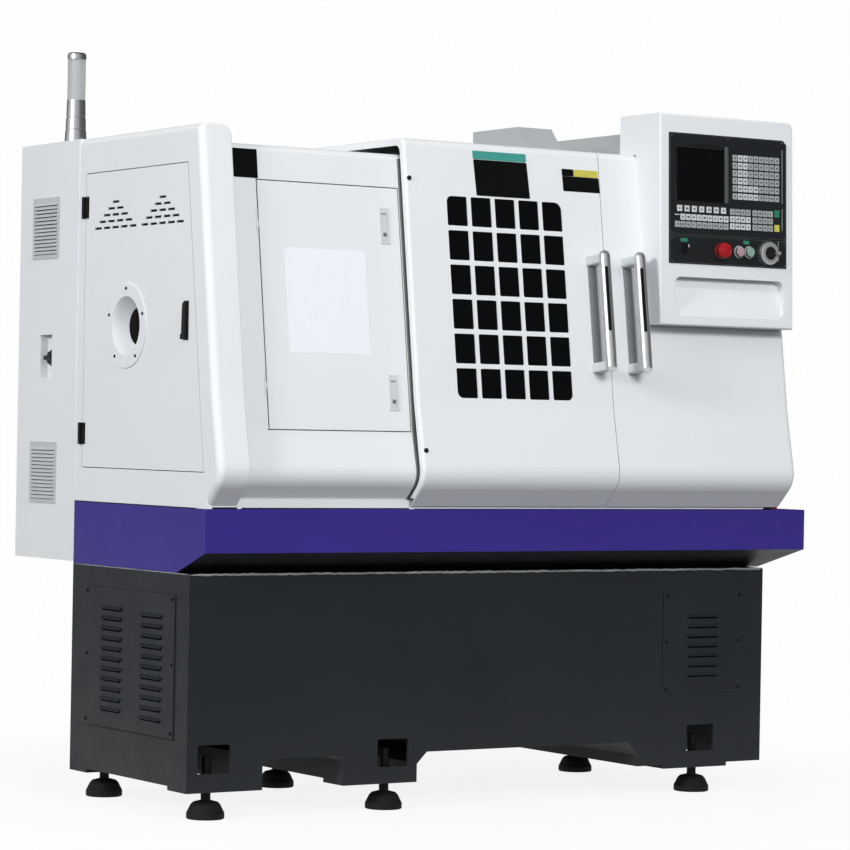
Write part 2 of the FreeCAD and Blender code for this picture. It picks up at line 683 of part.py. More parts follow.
def grip_groove(x):
    """Long shallow groove with round ends, let into the bar a little left of its front."""
    low, high, wide, turn = GRIP_LINE
    low, high = lean_z(low), lean_z(high)
    half = wide / 2
    reach = HANDLE_RADIUS - 1.5
    slab = box(-half, half, -HANDLE_RADIUS - 4, -reach, low + half, high - half)
    ends = [rod((0, -HANDLE_RADIUS - 4, z), Y_AXIS, half, HANDLE_RADIUS + 4 - reach) for z in (low + half, high - half)]
    groove = joined([slab] + ends)
    groove.rotate(V(0, 0, 0), Z_AXIS, -turn)
    groove.translate(V(x, -HANDLE_STAND, 0))
    return groove


def handle_leg(x, z):
    """Cast leg that narrows from the door to the bar, with soft long edges."""
    points = [(x - 18, 0), (x + 18, 0), (x + 11, -HANDLE_STAND), (x - 11, -HANDLE_STAND)]
    leg = prism_z(points, z - 12.5, z + 12.5)
    return fillet_where(leg, 5, lambda e: abs(edge_mid(e).y + HANDLE_STAND / 2) < 1 and abs(abs(edge_mid(e).z - z) - 12.5) < 0.1)


def door_handle(x):
    """Bow handle: a thin back strip, two cast legs and a polished bar with round ends."""
    z0, z1 = lean_z(HANDLE_LOW), lean_z(HANDLE_HIGH)
    r = HANDLE_RADIUS
    strip = box(x - 12.5, x + 12.5, -3, 0, z0 + 14, z1 - 14)
    bar_x = x + HANDLE_BAR_SHIFT
    bar = rod((bar_x, -HANDLE_STAND, z0 + r), Z_AXIS, r, z1 - z0 - 2 * r)
    for z in (z0 + r, z1 - r):
        bar = bar.fuse(Part.makeSphere(r, V(bar_x, -HANDLE_STAND, z)))
    legs = [handle_leg(x, z0 + 18), handle_leg(x, z1 - 20)]
    whole = joined([strip, bar] + legs).cut(grip_groove(bar_x))
    return on_lean(max(whole.Solids, key=lambda solid: solid.Volume))


def right_door():
    x0 = DOOR_SEAM + SEAM_GAP / 2
    shell = door_shell(x0, RIGHT_DOOR_END, 0.0, 18.0, True)
    duct = box(1300, 1700, BOX_BACK, DOOR_ROOF_BACK, COVER_TOP, 1720)
    duct = duct.cut(box(1303, 1697, BOX_BACK - 1, DOOR_ROOF_BACK - 3, COVER_TOP - 1, 1717))
    hole = on_lean(box(1340, 1660, -10, 10, lean_z(1400), lean_z(1560)))
    return joined([shell, duct]).cut(hole)


def slide_shoes(places):
    shoes = []
    for x in places:
        block = box(x, x + 60, RAIL[0] - 5, RAIL[1] + 5, RAIL[2] - 9, COVER_TOP - SKIN)
        shoes.append(block.cut(box(x - 1, x + 61, RAIL[0] - 0.3, RAIL[1] + 0.3, RAIL[2] - 10, RAIL[2] + 1)))
    return Part.makeCompound(shoes)


def door_plugs():
    """Two rubber buffers near the left edge of the left door."""
    x = LEFT_DOOR_START + 11
    high = on_lean(rod((x, 1, lean_z(1560)), V(0, -1, 0), 6, 3.5))
    slope = (skin_y(BEND_Z) - BELLY_FRONT) / (BEND_Z - BELLY_Z)
    low_z = 890.0
    low_y = skin_y(BEND_Z) - slope * (BEND_Z - low_z)
    low = rod((x, low_y + 1, low_z - slope), V(0, -1, slope), 6, 3.5)
    return Part.makeCompound([high, low])


# ---------------------------------------------------------------- control box
PANEL_LEFT = 1312.0
PANEL_RIGHT = 1697.0
PANEL_LOW = 1379.0
PANEL_SPLIT = 1452.0
PANEL_HIGH = 1715.0
BOX_LEAN_DEG = math.degrees(math.atan((BOX_FRONT_TOP - BOX_FRONT_BOTTOM) / (BOX_TOP - BOX_BOTTOM)))


def on_panel(shape):
    """Tip a piece made upright on the plane y = 0 onto the front of the control box."""
    moved = shape.copy()
    moved.rotate(V(0, 0, BOX_TOP), X_AXIS, -BOX_LEAN_DEG)
    moved.translate(V(0, BOX_FRONT_TOP, 0))
    return moved


def control_box():
    t = 3.0
    low_skin = skin_y(BOX_BOTTOM)
    section = [
        (BOX_FRONT_TOP, BOX_TOP), (BOX_BACK, BOX_TOP), (BOX_BACK, COVER_TOP), (COVER_TOP_FRONT, COVER_TOP),
        (low_skin, BOX_BOTTOM), (BOX_FRONT_BOTTOM, BOX_BOTTOM),
    ]
    cavity = [
        (BOX_FRONT_TOP + t, BOX_TOP - t), (BOX_BACK - t, BOX_TOP - t), (BOX_BACK - t, COVER_TOP + t),
        (COVER_TOP_FRONT - t, COVER_TOP + t), (low_skin - t, BOX_BOTTOM + t), (BOX_FRONT_BOTTOM + t, BOX_BOTTOM + t),
    ]
    body = prism_x(section, BOX_LEFT, BOX_RIGHT)

    def right_top(edge):
        p = edge_mid(edge)
        return abs(p.x - BOX_RIGHT) < 0.01 and abs(p.z - BOX_TOP) < 0.01

    body = fillet_where(body, 18, right_top)

    def front_rim(edge):
        ends = [edge.Vertexes[0].Point, edge.Vertexes[-1].Point]
        lean = (BOX_FRONT_TOP - BOX_FRONT_BOTTOM) / (BOX_TOP - BOX_BOTTOM)
        return all(abs(p.y - BOX_FRONT_TOP + lean * (BOX_TOP - p.z)) < 0.05 for p in ends)

    body = fillet_where(body, 5, front_rim)
    space = prism_x(cavity, BOX_LEFT + t, BOX_RIGHT - t)
    space = fillet_where(space, 15, lambda e: abs(edge_mid(e).x - BOX_RIGHT + t) < 0.01 and abs(edge_mid(e).z - BOX_TOP + t) < 0.01)
    scoop = scoop_space(0)
    body = body.cut(space.cut(scoop_space(t)))
    window = on_panel(box(PANEL_LEFT + 12, PANEL_RIGHT - 12, -5, 10, PANEL_LOW + 10, PANEL_HIGH - 10))
    cable_way = on_lean(box(1345, 1655, -20, 6, lean_z(1405), lean_z(1555)))
    return body.cut([scoop, window, cable_way])


def scoop_space(grow):
    """Hand recess under the panel: deep at its top edge and running out below."""
    left, right = 1332.0 - grow, 1691.0 + grow
    high, low = 1345.0 + grow, 1244.0 - grow
    depth = 24.0 + grow
    side = [(-5, high), (depth, high), (depth, high - 26), (0, low), (-5, low)]
    wire = outline(side, lambda p: V(left, p.x, p.y))
    body = Part.Face(wire).extrude(V(right - left, 0, 0))
    face = prism_y([(left, high, 20), (right, high, 20), (right, low, 30), (left, low, 30)], -20, 60)
    return on_panel(body.common(face))


def control_panel():
    cut = 12.0
    plate = prism_y([
        (PANEL_LEFT, PANEL_HIGH, 3), (PANEL_RIGHT - cut, PANEL_HIGH), (PANEL_RIGHT, PANEL_HIGH - cut),
        (PANEL_RIGHT, PANEL_SPLIT + 0.5), (PANEL_LEFT, PANEL_SPLIT + 0.5),
    ], -3, 0)
    screen_hole = box(SCREEN[0], SCREEN[1], -4, -1.0, SCREEN[2], SCREEN[3])
    casing = box(PANEL_LEFT + 16, PANEL_RIGHT - 16, 0, 30, PANEL_SPLIT + 14, PANEL_HIGH - 14)
    return on_panel(joined([plate, casing]).cut(screen_hole))


SCREEN = (1336.0, 1490.0, 1541.0, 1678.0)


def operator_strip():
    plate = box(PANEL_LEFT, PANEL_RIGHT, -3, 0, PANEL_LOW, PANEL_SPLIT - 0.5)
    holes = [rod((x, -5, z), Y_AXIS, r + 0.3, 12) for x, z, r in STEM_HOLES]
    backs = [ring((x, 0, z), Y_AXIS, r + 5, r + 0.3, 20) for x, z, r in STEM_HOLES]
    return on_panel(joined([plate] + backs).cut(holes))


BUTTON_Z = 1416.0
SELECTOR_X = 1360.0
ESTOP_X = 1478.0
STOP_X = 1536.8
START_X = 1570.0
DIAL_X = 1633.5
STEM_HOLES = (
    (SELECTOR_X, BUTTON_Z, 8.0), (ESTOP_X, BUTTON_Z, 9.0), (STOP_X, BUTTON_Z, 8.0),
    (START_X, BUTTON_Z, 8.0), (DIAL_X, BUTTON_Z, 8.0),
)


def round_control(x, profile):
    """Turned piece on the panel; profile is (height above the plate, radius) points."""
    points = [V(x + r, -3 - h, BUTTON_Z) for h, r in profile]
    wire = Part.makePolygon(points + [points[0]])
    return Part.Face(wire).revolve(V(x, 0, BUTTON_Z), Y_AXIS, 360)


def panel_controls():
    """Emergency stop, two push buttons, mode selector and hand dial, each with its stem."""
    stop_head = [(-18, 0), (-18, 8.6), (9, 8.6), (9, 14), (12, 19), (18, 20.5), (25, 18), (28, 10), (29, 0)]
    collar = [(0, 9.2), (0, 21), (4, 21), (6, 18), (6, 9.2)]
    button = [(-18, 0), (-18, 7.6), (6.5, 7.6), (6.5, 12.5), (11, 12.5), (12, 11.5), (12, 0)]
    bezel = [(0, 8.2), (0, 16.2), (2.5, 16.2), (3.5, 14.5), (3.5, 8.2)]
    shaft = [(-18, 0), (-18, 7.6), (3.6, 7.6), (3.6, 12), (10, 12), (10, 0)]
    grip = box(SELECTOR_X - 3.5, SELECTOR_X + 3.5, -22, -13, BUTTON_Z - 12, BUTTON_Z + 12)
    dial = [(-18, 0), (-18, 7.6), (1, 7.6), (1, 29), (12, 29.5), (14, 26), (14, 16), (10, 14), (10, 0)]
    crank = rod((DIAL_X + 19, -15, BUTTON_Z), V(0, -1, 0), 4.5, 16)
    bezels = [on_panel(round_control(ESTOP_X, collar))]
    for x in (STOP_X, START_X, SELECTOR_X):
        bezels.append(on_panel(round_control(x, bezel)))
    return {
        "button_bezels": Part.makeCompound(bezels),
        "emergency_stop": on_panel(round_control(ESTOP_X, stop_head)),
        "stop_button": on_panel(round_control(STOP_X, button)),
        "start_button": on_panel(round_control(START_X, button)),
        "mode_selector": on_panel(joined([round_control(SELECTOR_X, shaft), grip])),
        "hand_dial": on_panel(joined([round_control(DIAL_X, dial), crank])),
    }


def key_block(x0, z_top, columns, rows, pitch_x, pitch_z, key_w, key_h):
    keys = []
    for i in range(columns):
        for j in range(rows):
            x = x0 + i * pitch_x
            z = z_top - j * pitch_z
            keys.append(box(x, x + key_w, -4.2, -3, z - key_h, z))
    return keys


def panel_keys():
    keys = key_block(1517.5, 1668, 9, 5, 17.45, 19.8, 14.6, 16.0)
    keys += key_block(1517.5, 1568, 9, 1, 17.45, 19.8, 14.6, 15.5)
    keys += key_block(1336.3, 1528.5, 7, 1, 23.8, 20, 16, 15.6)
    keys += key_block(1329.5, 1505, 1, 1, 17.6, 19, 14, 2.5)
    keys += key_block(1347.1, 1506.5, 9, 1, 17.6, 19, 15.2, 15.5)
    keys += key_block(1329.5, 1487.3, 10, 1, 17.6, 19, 15.2, 15.5)
    keys += key_block(1509, 1527, 4, 3, 17.4, 18.8, 15, 15.2)
    keys += key_block(1583.5, 1527, 4, 3, 17.4, 18.8, 15, 15.2)
    keys += key_block(1656.5, 1530.5, 1, 2, 17.4, 38, 16, 18)
    return on_panel(Part.makeCompound(keys))


def display():
    x0, x1, z0, z1 = SCREEN
    return on_panel(box(x0 + 0.5, x1 - 0.5, -2.4, -1.0, z0 + 0.5, z1 - 0.5))


# ---------------------------------------------------------------- fixed guards
def door_sill():
    return box(END_COVER_WIDTH, 1684, 6, 16, TRAY_TOP, 768)


def door_stop():
    return fillet_where(box(1690, 1728, 4.5, 30, TRAY_TOP, 765), 3, lambda e: abs(edge_mid(e).z - 765) < 0.01)


def rear_guard():
    back = box(END_COVER_WIDTH, 1720, TRAY_DEPTH - SKIN, TRAY_DEPTH, TRAY_TOP, INNER_TOP - SKIN)
    roof = box(BULKHEAD_X + SKIN, 1480, 480, TRAY_DEPTH, INNER_TOP - SKIN, INNER_TOP)
    drip = box(BULKHEAD_X + SKIN, 1480, 480, 480 + SKIN, INNER_TOP - 25, INNER_TOP - SKIN)
    return joined([back, roof, drip]).cut(box(815, 1370, 670, 690, 940, 1085))


def top_rail():
    return box(100, 1716, RAIL[0], RAIL[1], INNER_TOP, RAIL[2])


def x_motor_cover():
    outer = box(812, 1373, TRAY_DEPTH, 768, 937, 1088)
    return outer.cut(box(815, 1370, TRAY_DEPTH - 1, 765, 940, 1085))


def bulkhead():
    top = INNER_TOP - SKIN - 1
    inside = hood(BULKHEAD_X, BULKHEAD_X + SKIN, INNER_OFFSET + SKIN, TRAY_DEPTH - SKIN, top, 768.0, 768.0, CROWN_RADIUS - SKIN)
    window = box(BULKHEAD_X - 1, BULKHEAD_X + SKIN + 1, 243, 587, 700, 1336)
    lower = box(BULKHEAD_X, BULKHEAD_X + SKIN, 20, TRAY_DEPTH - SKIN, TRAY_TOP, 768)
    return joined([inside, lower]).cut(window)


def right_end_cover():
    x0, x1 = 1480.0, 1720.0
    lip = 768.0
    outer = hood(x0, x1, INNER_OFFSET, TRAY_DEPTH, INNER_TOP, lip)
    inner = hood(x0 - 1, x1 + 1, INNER_OFFSET + SKIN, TRAY_DEPTH + 1, INNER_TOP - SKIN, lip, lip - 5, CROWN_RADIUS - SKIN)
    wall = hood(x1 - SKIN, x1, INNER_OFFSET + SKIN, TRAY_DEPTH - SKIN, INNER_TOP - SKIN, lip, lip, CROWN_RADIUS - SKIN)
    foot = box(x1 - SKIN, x1, 34, TRAY_DEPTH - SKIN, TRAY_TOP, lip)
    return joined([outer.cut(inner), wall, foot])


# ---------------------------------------------------------------- electrical cabinet and lamp
SWITCH_NICHE = (822.0, 888.0, 1056.0, 1167.0, 22.0)
VENTS = ((790.0, 940.0, 1362.0, 1520.0), (785.0, 935.0, 734.0, 892.0))


def electrical_cabinet():
    t = SKIN
    body = box(0, CABINET_WIDTH, TRAY_DEPTH, CABINET_BACK - t, CABINET_BOTTOM, COVER_TOP)
    body = body.cut(box(t, CABINET_WIDTH - t, TRAY_DEPTH + t, CABINET_BACK, CABINET_BOTTOM + t, COVER_TOP - t))
    rim = box(0, CABINET_WIDTH, CABINET_BACK - 20, CABINET_BACK - t - 1, CABINET_BOTTOM, COVER_TOP)
    rim = rim.cut(box(20, CABINET_WIDTH - 20, 900, CABINET_BACK, CABINET_BOTTOM + 20, COVER_TOP - 20))
    y0, y1, z0, z1, depth = SWITCH_NICHE
    niche = box(0, depth + t, y0 - t, y1 + t, z0 - t, z1 + t)
    body = joined([body, rim, niche])
    cuts = [box(-1, depth, y0, y1, z0, z1)]
    for a, b, low, high in VENTS:
        cuts.append(box(-1, t + 1, a + 12, b - 12, low + 14, high - 14))
    return body.cut(cuts)


def cabinet_vents():
    vents = []
    rows = 14
    for a, b, low, high in VENTS:
        plate = box(-2, 0, a, b, low, high)
        pitch = (high - low - 24) / rows
        hoods = []
        slots = []
        for k in range(rows):
            z = high - 14 - k * pitch
            wire = outline([(-2, z), (-6, z - 7), (-2, z - 7)], lambda p: V(p.x, a + 10, p.y))
            hoods.append(Part.Face(wire).extrude(V(0, b - a - 20, 0)))
            slots.append(box(-5, 1, a + 13, b - 13, z - 9.3, z - 5.5))
        vents.append(joined([plate] + hoods).cut(slots))
    return Part.makeCompound(vents)


SWITCH_Y = 855.0
SWITCH_Z = 1108.0


def main_switch():
    depth = SWITCH_NICHE[4]
    base = ring((depth - 4, SWITCH_Y, SWITCH_Z), X_AXIS, 22, 6.1, 4)
    disc = rod((depth - 12, SWITCH_Y, SWITCH_Z), X_AXIS, 17, 7.7)
    stem = rod((depth - 6, SWITCH_Y, SWITCH_Z), X_AXIS, 6, 6)
    grip = box(1, depth - 11, SWITCH_Y - 20, SWITCH_Y + 20, SWITCH_Z - 6, SWITCH_Z + 6)
    grip = fillet_where(grip, 4, lambda e: abs(edge_mid(e).x - 1) < 0.01)
    return base, joined([disc, stem, grip])


CAB_HINGE_X = CABINET_WIDTH - 6.0
CAB_HINGE_Y = CABINET_BACK + 5.0


def cabinet_door():
    t = SKIN
    z0, z1 = CABINET_BOTTOM + 8, COVER_TOP - 8
    x0, x1 = 8.0, CABINET_WIDTH - 14
    sheet = box(x0, x1, CABINET_BACK - t, CABINET_BACK, z0, z1)
    rim = box(x0 + 16, x1 - 16, CABINET_BACK - 16, CABINET_BACK - t, z0 + 16, z1 - 16)
    rim = rim.cut(box(x0 + 16 + t, x1 - 16 - t, CABINET_BACK - 17, CABINET_BACK, z0 + 16 + t, z1 - 16 - t))
    return joined([sheet, rim]).cut(rod((CAB_LOCK_X, CABINET_BACK - 20, CAB_LOCK_Z), Y_AXIS, 9, 30))


CAB_LOCK_X = 60.0
CAB_LOCK_Z = 1126.0


def cabinet_hinges():
    fixed = []
    turning = []
    x, y = CAB_HINGE_X, CAB_HINGE_Y
    r = 5.0
    third = 20.0
    for z0 in (CABINET_BOTTOM + 100, COVER_TOP - 160):
        outer = [rod((x, y, z0 + k * third), Z_AXIS, r, third) for k in (0, 2)]
        straps = [box(x, x + 6, CABINET_BACK - SKIN, y, z0 + k * third, z0 + (k + 1) * third) for k in (0, 2)]
        pin = rod((x, y, z0), Z_AXIS, 2.2, 3 * third)
        fixed.append(joined(outer + straps + [pin]))
        knuckle = rod((x, y, z0 + third + 0.3), Z_AXIS, r, third - 0.6)
        plate = box(x - 34, x, CABINET_BACK, CABINET_BACK + 3, z0 + third + 0.3, z0 + 2 * third - 0.3)
        turning.append(joined([knuckle, plate]).cut(rod((x, y, z0 - 1), Z_AXIS, 2.26, 3 * third + 2)))
    return Part.makeCompound(fixed), Part.makeCompound(turning)


def cabinet_lock():
    x, z, y = CAB_LOCK_X, CAB_LOCK_Z, CABINET_BACK
    cylinder = ring((x, y - 14, z), Y_AXIS, 8.8, 4.1, 14)
    flange = ring((x, y, z), Y_AXIS, 14, 4.1, 4)
    turned = [rod((x, y - 20, z), Y_AXIS, 4.0, 26), rod((x, y + 4.3, z), Y_AXIS, 11, 6)]
    wing = box(x - 3, x + 3, y + 8, y + 20, z - 18, z + 18)
    cam = box(x - 30, x + 6, y - 24, y - 20, z - 8, z + 8)
    return joined([cylinder, flange]), joined(turned + [wing, cam])


def cabinet_inside():
    plate = box(60, 640, 700, 703, 660, 1600)
    posts = [box(x, x + 20, TRAY_DEPTH + SKIN, 700, z, z + 20) for x in (80, 600) for z in (680, 1560)]
    units = [
        box(100, 220, 703, 860, 1280, 1560), box(250, 370, 703, 860, 1280, 1560), box(400, 600, 703, 840, 1250, 1560),
        box(110, 590, 703, 760, 1060, 1170), box(120, 320, 703, 830, 760, 960), box(380, 600, 703, 770, 760, 900),
    ]
    return joined([plate] + posts), Part.makeCompound(units)


LAMP_X = 38.0
LAMP_Y = 785.0
LAMP_BASE_HIGH = 1768.0
LAMP_LENS_HIGH = 1873.0
LAMP_TOP = 1889.0


def signal_lamp():
    z = COVER_TOP
    foot = [
        (0, z), (28, z), (28, z + 4), (26.5, z + 30), (25.2, z + 31), (25.2, z + 33), (26, z + 34), (25, z + 62),
        (23.8, z + 63), (23.8, z + 65), (24.6, z + 66), (23.5, LAMP_BASE_HIGH), (0, LAMP_BASE_HIGH),
    ]
    lens = [(0, LAMP_BASE_HIGH), (23, LAMP_BASE_HIGH), (23, LAMP_LENS_HIGH), (0, LAMP_LENS_HIGH)]
    cap = [(0, LAMP_LENS_HIGH), (24, LAMP_LENS_HIGH), (24, LAMP_TOP - 4), (20, LAMP_TOP), (0, LAMP_TOP)]
    return {
        "lamp_foot": turned_z(foot, LAMP_X, LAMP_Y),
        "lamp_lens": turned_z(lens, LAMP_X, LAMP_Y),
        "lamp_cap": turned_z(cap, LAMP_X, LAMP_Y),
    }


# ---------------------------------------------------------------- bed, headstock and drive
def bed():
    y0, mid = SPINDLE_Y - BED_HALF, SPINDLE_Y
    rail = [
        (y0 + 12, TRAY_TOP), (y0 + 12, 938), (y0, 950), (y0, 975), (y0 + 8, BED_TOP), (y0 + 24, BED_TOP),
        (y0 + 37, BED_TOP + 11), (y0 + 50, BED_TOP), (y0 + 85, BED_TOP), (y0 + 85, 950), (y0 + 72, 938), (y0 + 72, TRAY_TOP),
    ]
    back = [(2 * mid - y, z) for y, z in reversed(rail)]
    x0, x1 = 215.0, 1690.0
    pieces = [prism_x(rail, x0, x1), prism_x(back, x0, x1)]
    inner0, inner1 = y0 + 72, 2 * mid - y0 - 72
    for x in (215, 420, 640, 860, 1080, 1300, 1500, 1665):
        pieces.append(box(x, x + 25, inner0, inner1, TRAY_TOP, 930))
    pieces.append(box(230, 600, y0 + 12, 2 * mid - y0 - 12, BASE_TOP + TRAY_SHEET, TRAY_TOP))
    pieces.append(box(1320, 1680, y0 + 12, 2 * mid - y0 - 12, BASE_TOP + TRAY_SHEET, TRAY_TOP))
    return joined(pieces)


def ridge_grooves(x0, x1):
    """Room over the two ridges of the bed, a hair wider than the ridges."""
    y0 = SPINDLE_Y - BED_HALF
    g = SLIDE_GAP
    groove = [(y0 + 23, BED_TOP - 1), (y0 + 23, BED_TOP + g), (y0 + 37, BED_TOP + 12 + g), (y0 + 51, BED_TOP + g), (y0 + 51, BED_TOP - 1)]
    back = [(2 * SPINDLE_Y - y, z) for y, z in reversed(groove)]
    return [prism_x(groove, x0, x1), prism_x(back, x0, x1)]


SPINDLE_RADIUS = 45.0
SPINDLE_BORE = 26.0
HEADSTOCK = (215.0, 600.0, 250.0, 580.0, 1330.0)


def headstock():
    x0, x1, y0, y1, top = HEADSTOCK
    section = [(y0, BED_TOP), (y0, 1250), (y0 + 60, top, 30), (y1 - 60, top, 30), (y1, 1250), (y1, BED_TOP)]
    body = prism_x(section, x0, x1)
    body = body.cut(ridge_grooves(x0 - 1, x1 + 1))
    hollow = prism_x([(y0 + 28, BED_TOP + 28), (y0 + 28, 1245), (y0 + 75, top - 28), (y1 - 75, top - 28), (y1 - 28, 1245), (y1 - 28, BED_TOP + 28)], x0 + 45, x1 - 55)
    tunnel = rod((x0 + 20, SPINDLE_Y, SPINDLE_Z), X_AXIS, 78, x1 - x0 - 40)
    body = joined([body.cut(hollow), tunnel])
    return body.cut(rod((x0 - 1, SPINDLE_Y, SPINDLE_Z), X_AXIS, SPINDLE_RADIUS + 0.06, x1 - x0 + 2))


def bearing_caps():
    x0, x1 = HEADSTOCK[0], HEADSTOCK[1]
    inner = SPINDLE_RADIUS + 0.5
    front = ring((x1, SPINDLE_Y, SPINDLE_Z), X_AXIS, 92, inner, 12)
    back = ring((x0 - 10, SPINDLE_Y, SPINDLE_Z), X_AXIS, 80, inner, 10)
    return Part.makeCompound([front, back])


NOSE_X = 613.0
NOSE_LENGTH = 14.0
CHUCK_RADIUS = 105.0
CHUCK_LENGTH = 84.0
JAW_WIDTH = 30.0


def spindle():
    profile = [(104, SPINDLE_BORE), (104, SPINDLE_RADIUS), (NOSE_X, SPINDLE_RADIUS), (NOSE_X, 78), (NOSE_X + NOSE_LENGTH, 78), (NOSE_X + NOSE_LENGTH, SPINDLE_BORE)]
    return turned_x(profile, SPINDLE_Y, SPINDLE_Z)


def grooved_pulley(x0, width, radius, bore, y, z):
    ribs = 8
    pitch = width / ribs
    profile = [(x0, bore), (x0, radius - 4)]
    for k in range(ribs):
        profile.append((x0 + (k + 0.3) * pitch, radius))
        profile.append((x0 + (k + 0.7) * pitch, radius))
        profile.append((x0 + (k + 1) * pitch, radius - 4))
    profile.append((x0 + width, bore))
    return turned_x(profile, y, z)


PULLEY_X = 128.0
PULLEY_WIDTH = 62.0
SPINDLE_PULLEY_RADIUS = 92.0
MOTOR_PULLEY_RADIUS = 62.0
MOTOR_Z = 285.0


def main_drive():
    """Foot-mounted motor in the base; its belt climbs to the spindle through the tray."""
    y, z = SPINDLE_Y, MOTOR_Z
    x0, x1 = 216.0, 500.0
    body = turned_x([(x0, 20), (x0, 92), (x0 + 14, 105), (x1 - 70, 105), (x1 - 66, 98), (x1 - 4, 98), (x1, 90), (x1, 20)], y, z)
    fins = []
    for k in range(16):
        a = math.radians(-60 + k * 20)
        if abs(math.sin(a)) < 0.99 or math.sin(a) > 0:
            fin = box(x0 + 30, x1 - 80, -2.5, 2.5, 100, 116)
            fin.rotate(V(0, 0, 0), X_AXIS, math.degrees(a))
            fin.translate(V(0, y, z))
            fins.append(fin)
    feet_z = TUNNEL_TOP + BASE_WALL
    legs = [box(250, 430, y + s * 78 - 20, y + s * 78 + 20, feet_z, z - 55) for s in (-1, 1)]
    terminal = box(300, 400, y - 45, y + 45, z + 95, z + 150)
    motor = joined([body] + fins + legs + [terminal])
    motor = motor.cut(rod((x0 - 1, y, z), X_AXIS, 20, x1 - x0 + 2))
    rotor = joined([rod((PULLEY_X - 4, y, z), X_AXIS, 19, 90), rod((x0 - 2, y, z), X_AXIS, 19, x1 - x0 - 4)])
    pulley = grooved_pulley(PULLEY_X, PULLEY_WIDTH, MOTOR_PULLEY_RADIUS, 19.0, y, z)
    return motor, rotor, pulley


def drive_belt():
    """Closed ribbed belt as one band round both pulleys."""
    y = SPINDLE_Y
    thick = 5.0
    gap = 0.4

    def loop(extra):
        r_top = SPINDLE_PULLEY_RADIUS + gap + extra
        r_low = MOTOR_PULLEY_RADIUS + gap + extra
        span = SPINDLE_Z - MOTOR_Z
        tilt = math.asin((r_top - r_low) / span)
        c, s = math.cos(tilt), math.sin(tilt)
        x = PULLEY_X + 1
        top = V(x, y, SPINDLE_Z)
        low = V(x, y, MOTOR_Z)

        def at(centre, radius, side):
            return V(x, centre.y + side * radius * c, centre.z + radius * s)

        arcs = [
            Part.Arc(at(top, r_top, -1), V(x, y, SPINDLE_Z + r_top), at(top, r_top, 1)).toShape(),
            Part.LineSegment(at(top, r_top, 1), at(low, r_low, 1)).toShape(),
            Part.Arc(at(low, r_low, 1), V(x, y, MOTOR_Z - r_low), at(low, r_low, -1)).toShape(),
            Part.LineSegment(at(low, r_low, -1), at(top, r_top, -1)).toShape(),
        ]
        return Part.Face(Part.Wire(arcs))

    band = loop(thick).cut(loop(0.0))
    return band.extrude(V(PULLEY_WIDTH - 2, 0, 0))


def chuck_body():
    x0 = NOSE_X + NOSE_LENGTH
    x1 = x0 + CHUCK_LENGTH
    profile = [(x0, 30), (x0, CHUCK_RADIUS - 8), (x0 + 6, CHUCK_RADIUS), (x1 - 4, CHUCK_RADIUS), (x1, CHUCK_RADIUS - 4), (x1, 30)]
    body = turned_x(profile, SPINDLE_Y, SPINDLE_Z)
    cuts = []
    for k in range(3):
        slot = box(x1 - 30, x1 + 1, -JAW_WIDTH / 2 - 0.2, JAW_WIDTH / 2 + 0.2, 25, CHUCK_RADIUS + 10)
        cuts.append(about_spindle(slot, k * 120))
        key = box(x0 + 25, x0 + 37, -6, 6, CHUCK_RADIUS - 20, CHUCK_RADIUS + 5)
        cuts.append(about_spindle(key, 60 + k * 120))
    return body.cut(cuts)


def about_spindle(shape, degrees):
    moved = shape.copy()
    moved.rotate(V(0, 0, 0), X_AXIS, degrees)
    moved.translate(V(0, SPINDLE_Y, SPINDLE_Z))
    return moved


def chuck_jaw(k):
    """Stepped hardened jaw, riding in a radial slot of the chuck."""
    face = NOSE_X + NOSE_LENGTH + CHUCK_LENGTH
    profile = [
        (face - 29.8, 40), (face - 29.8, 98), (face + 14, 98), (face + 14, 82), (face + 28, 82),
        (face + 28, 62), (face + 42, 62), (face + 42, 40),
    ]
    wire = outline(profile, lambda p: V(p.x, -JAW_WIDTH / 2, p.y))
    return about_spindle(Part.Face(wire).extrude(V(0, JAW_WIDTH, 0)), k * 120)


# ---------------------------------------------------------------- carriage and turret
def saddle():
    x0, x1 = CARRIAGE_X - 140, CARRIAGE_X + 140
    g = SLIDE_GAP
    top = 1034.0
    plan = [
        (x0, 240), (x0, 590), (x1, 590), (x1, 240), (x1 - 40, 225), (x1 - 40, 158), (x0 + 40, 158), (x0 + 40, 225),
    ]
    body = prism_z(plan, BED_TOP + g, top)
    body = body.cut(ridge_grooves(x0 - 1, x1 + 1))
    apron = box(x0 + 45, x1 - 45, 158, SPINDLE_Y - BED_HALF - 2, 855, BED_TOP + g)
    gibs = [box(x0 + 20, x1 - 20, y0, y1, 930, BED_TOP + g) for y0, y1 in ((582.5, 590),)]
    groove = box(CARRIAGE_X - 20, CARRIAGE_X + 20, 150, 600, X_SCREW_Z - 16, top + 1)
    body = joined([body, apron] + gibs).cut(groove)
    nut_hole = rod((x0, Z_SCREW_Y, Z_SCREW_Z), X_AXIS, 22, x1 - x0)
    return body.cut(nut_hole)


def z_nut():
    x0 = CARRIAGE_X - 95
    body = ring((x0, Z_SCREW_Y, Z_SCREW_Z), X_AXIS, 22, 12.6, 90)
    return body.fuse(ring((x0 - 12, Z_SCREW_Y, Z_SCREW_Z), X_AXIS, 32, 12.6, 12))


def z_screw():
    body = rod((606, Z_SCREW_Y, Z_SCREW_Z), X_AXIS, 12.5, 1500 - 606)
    return body.fuse(rod((1500, Z_SCREW_Y, Z_SCREW_Z), X_AXIS, 10, 45))


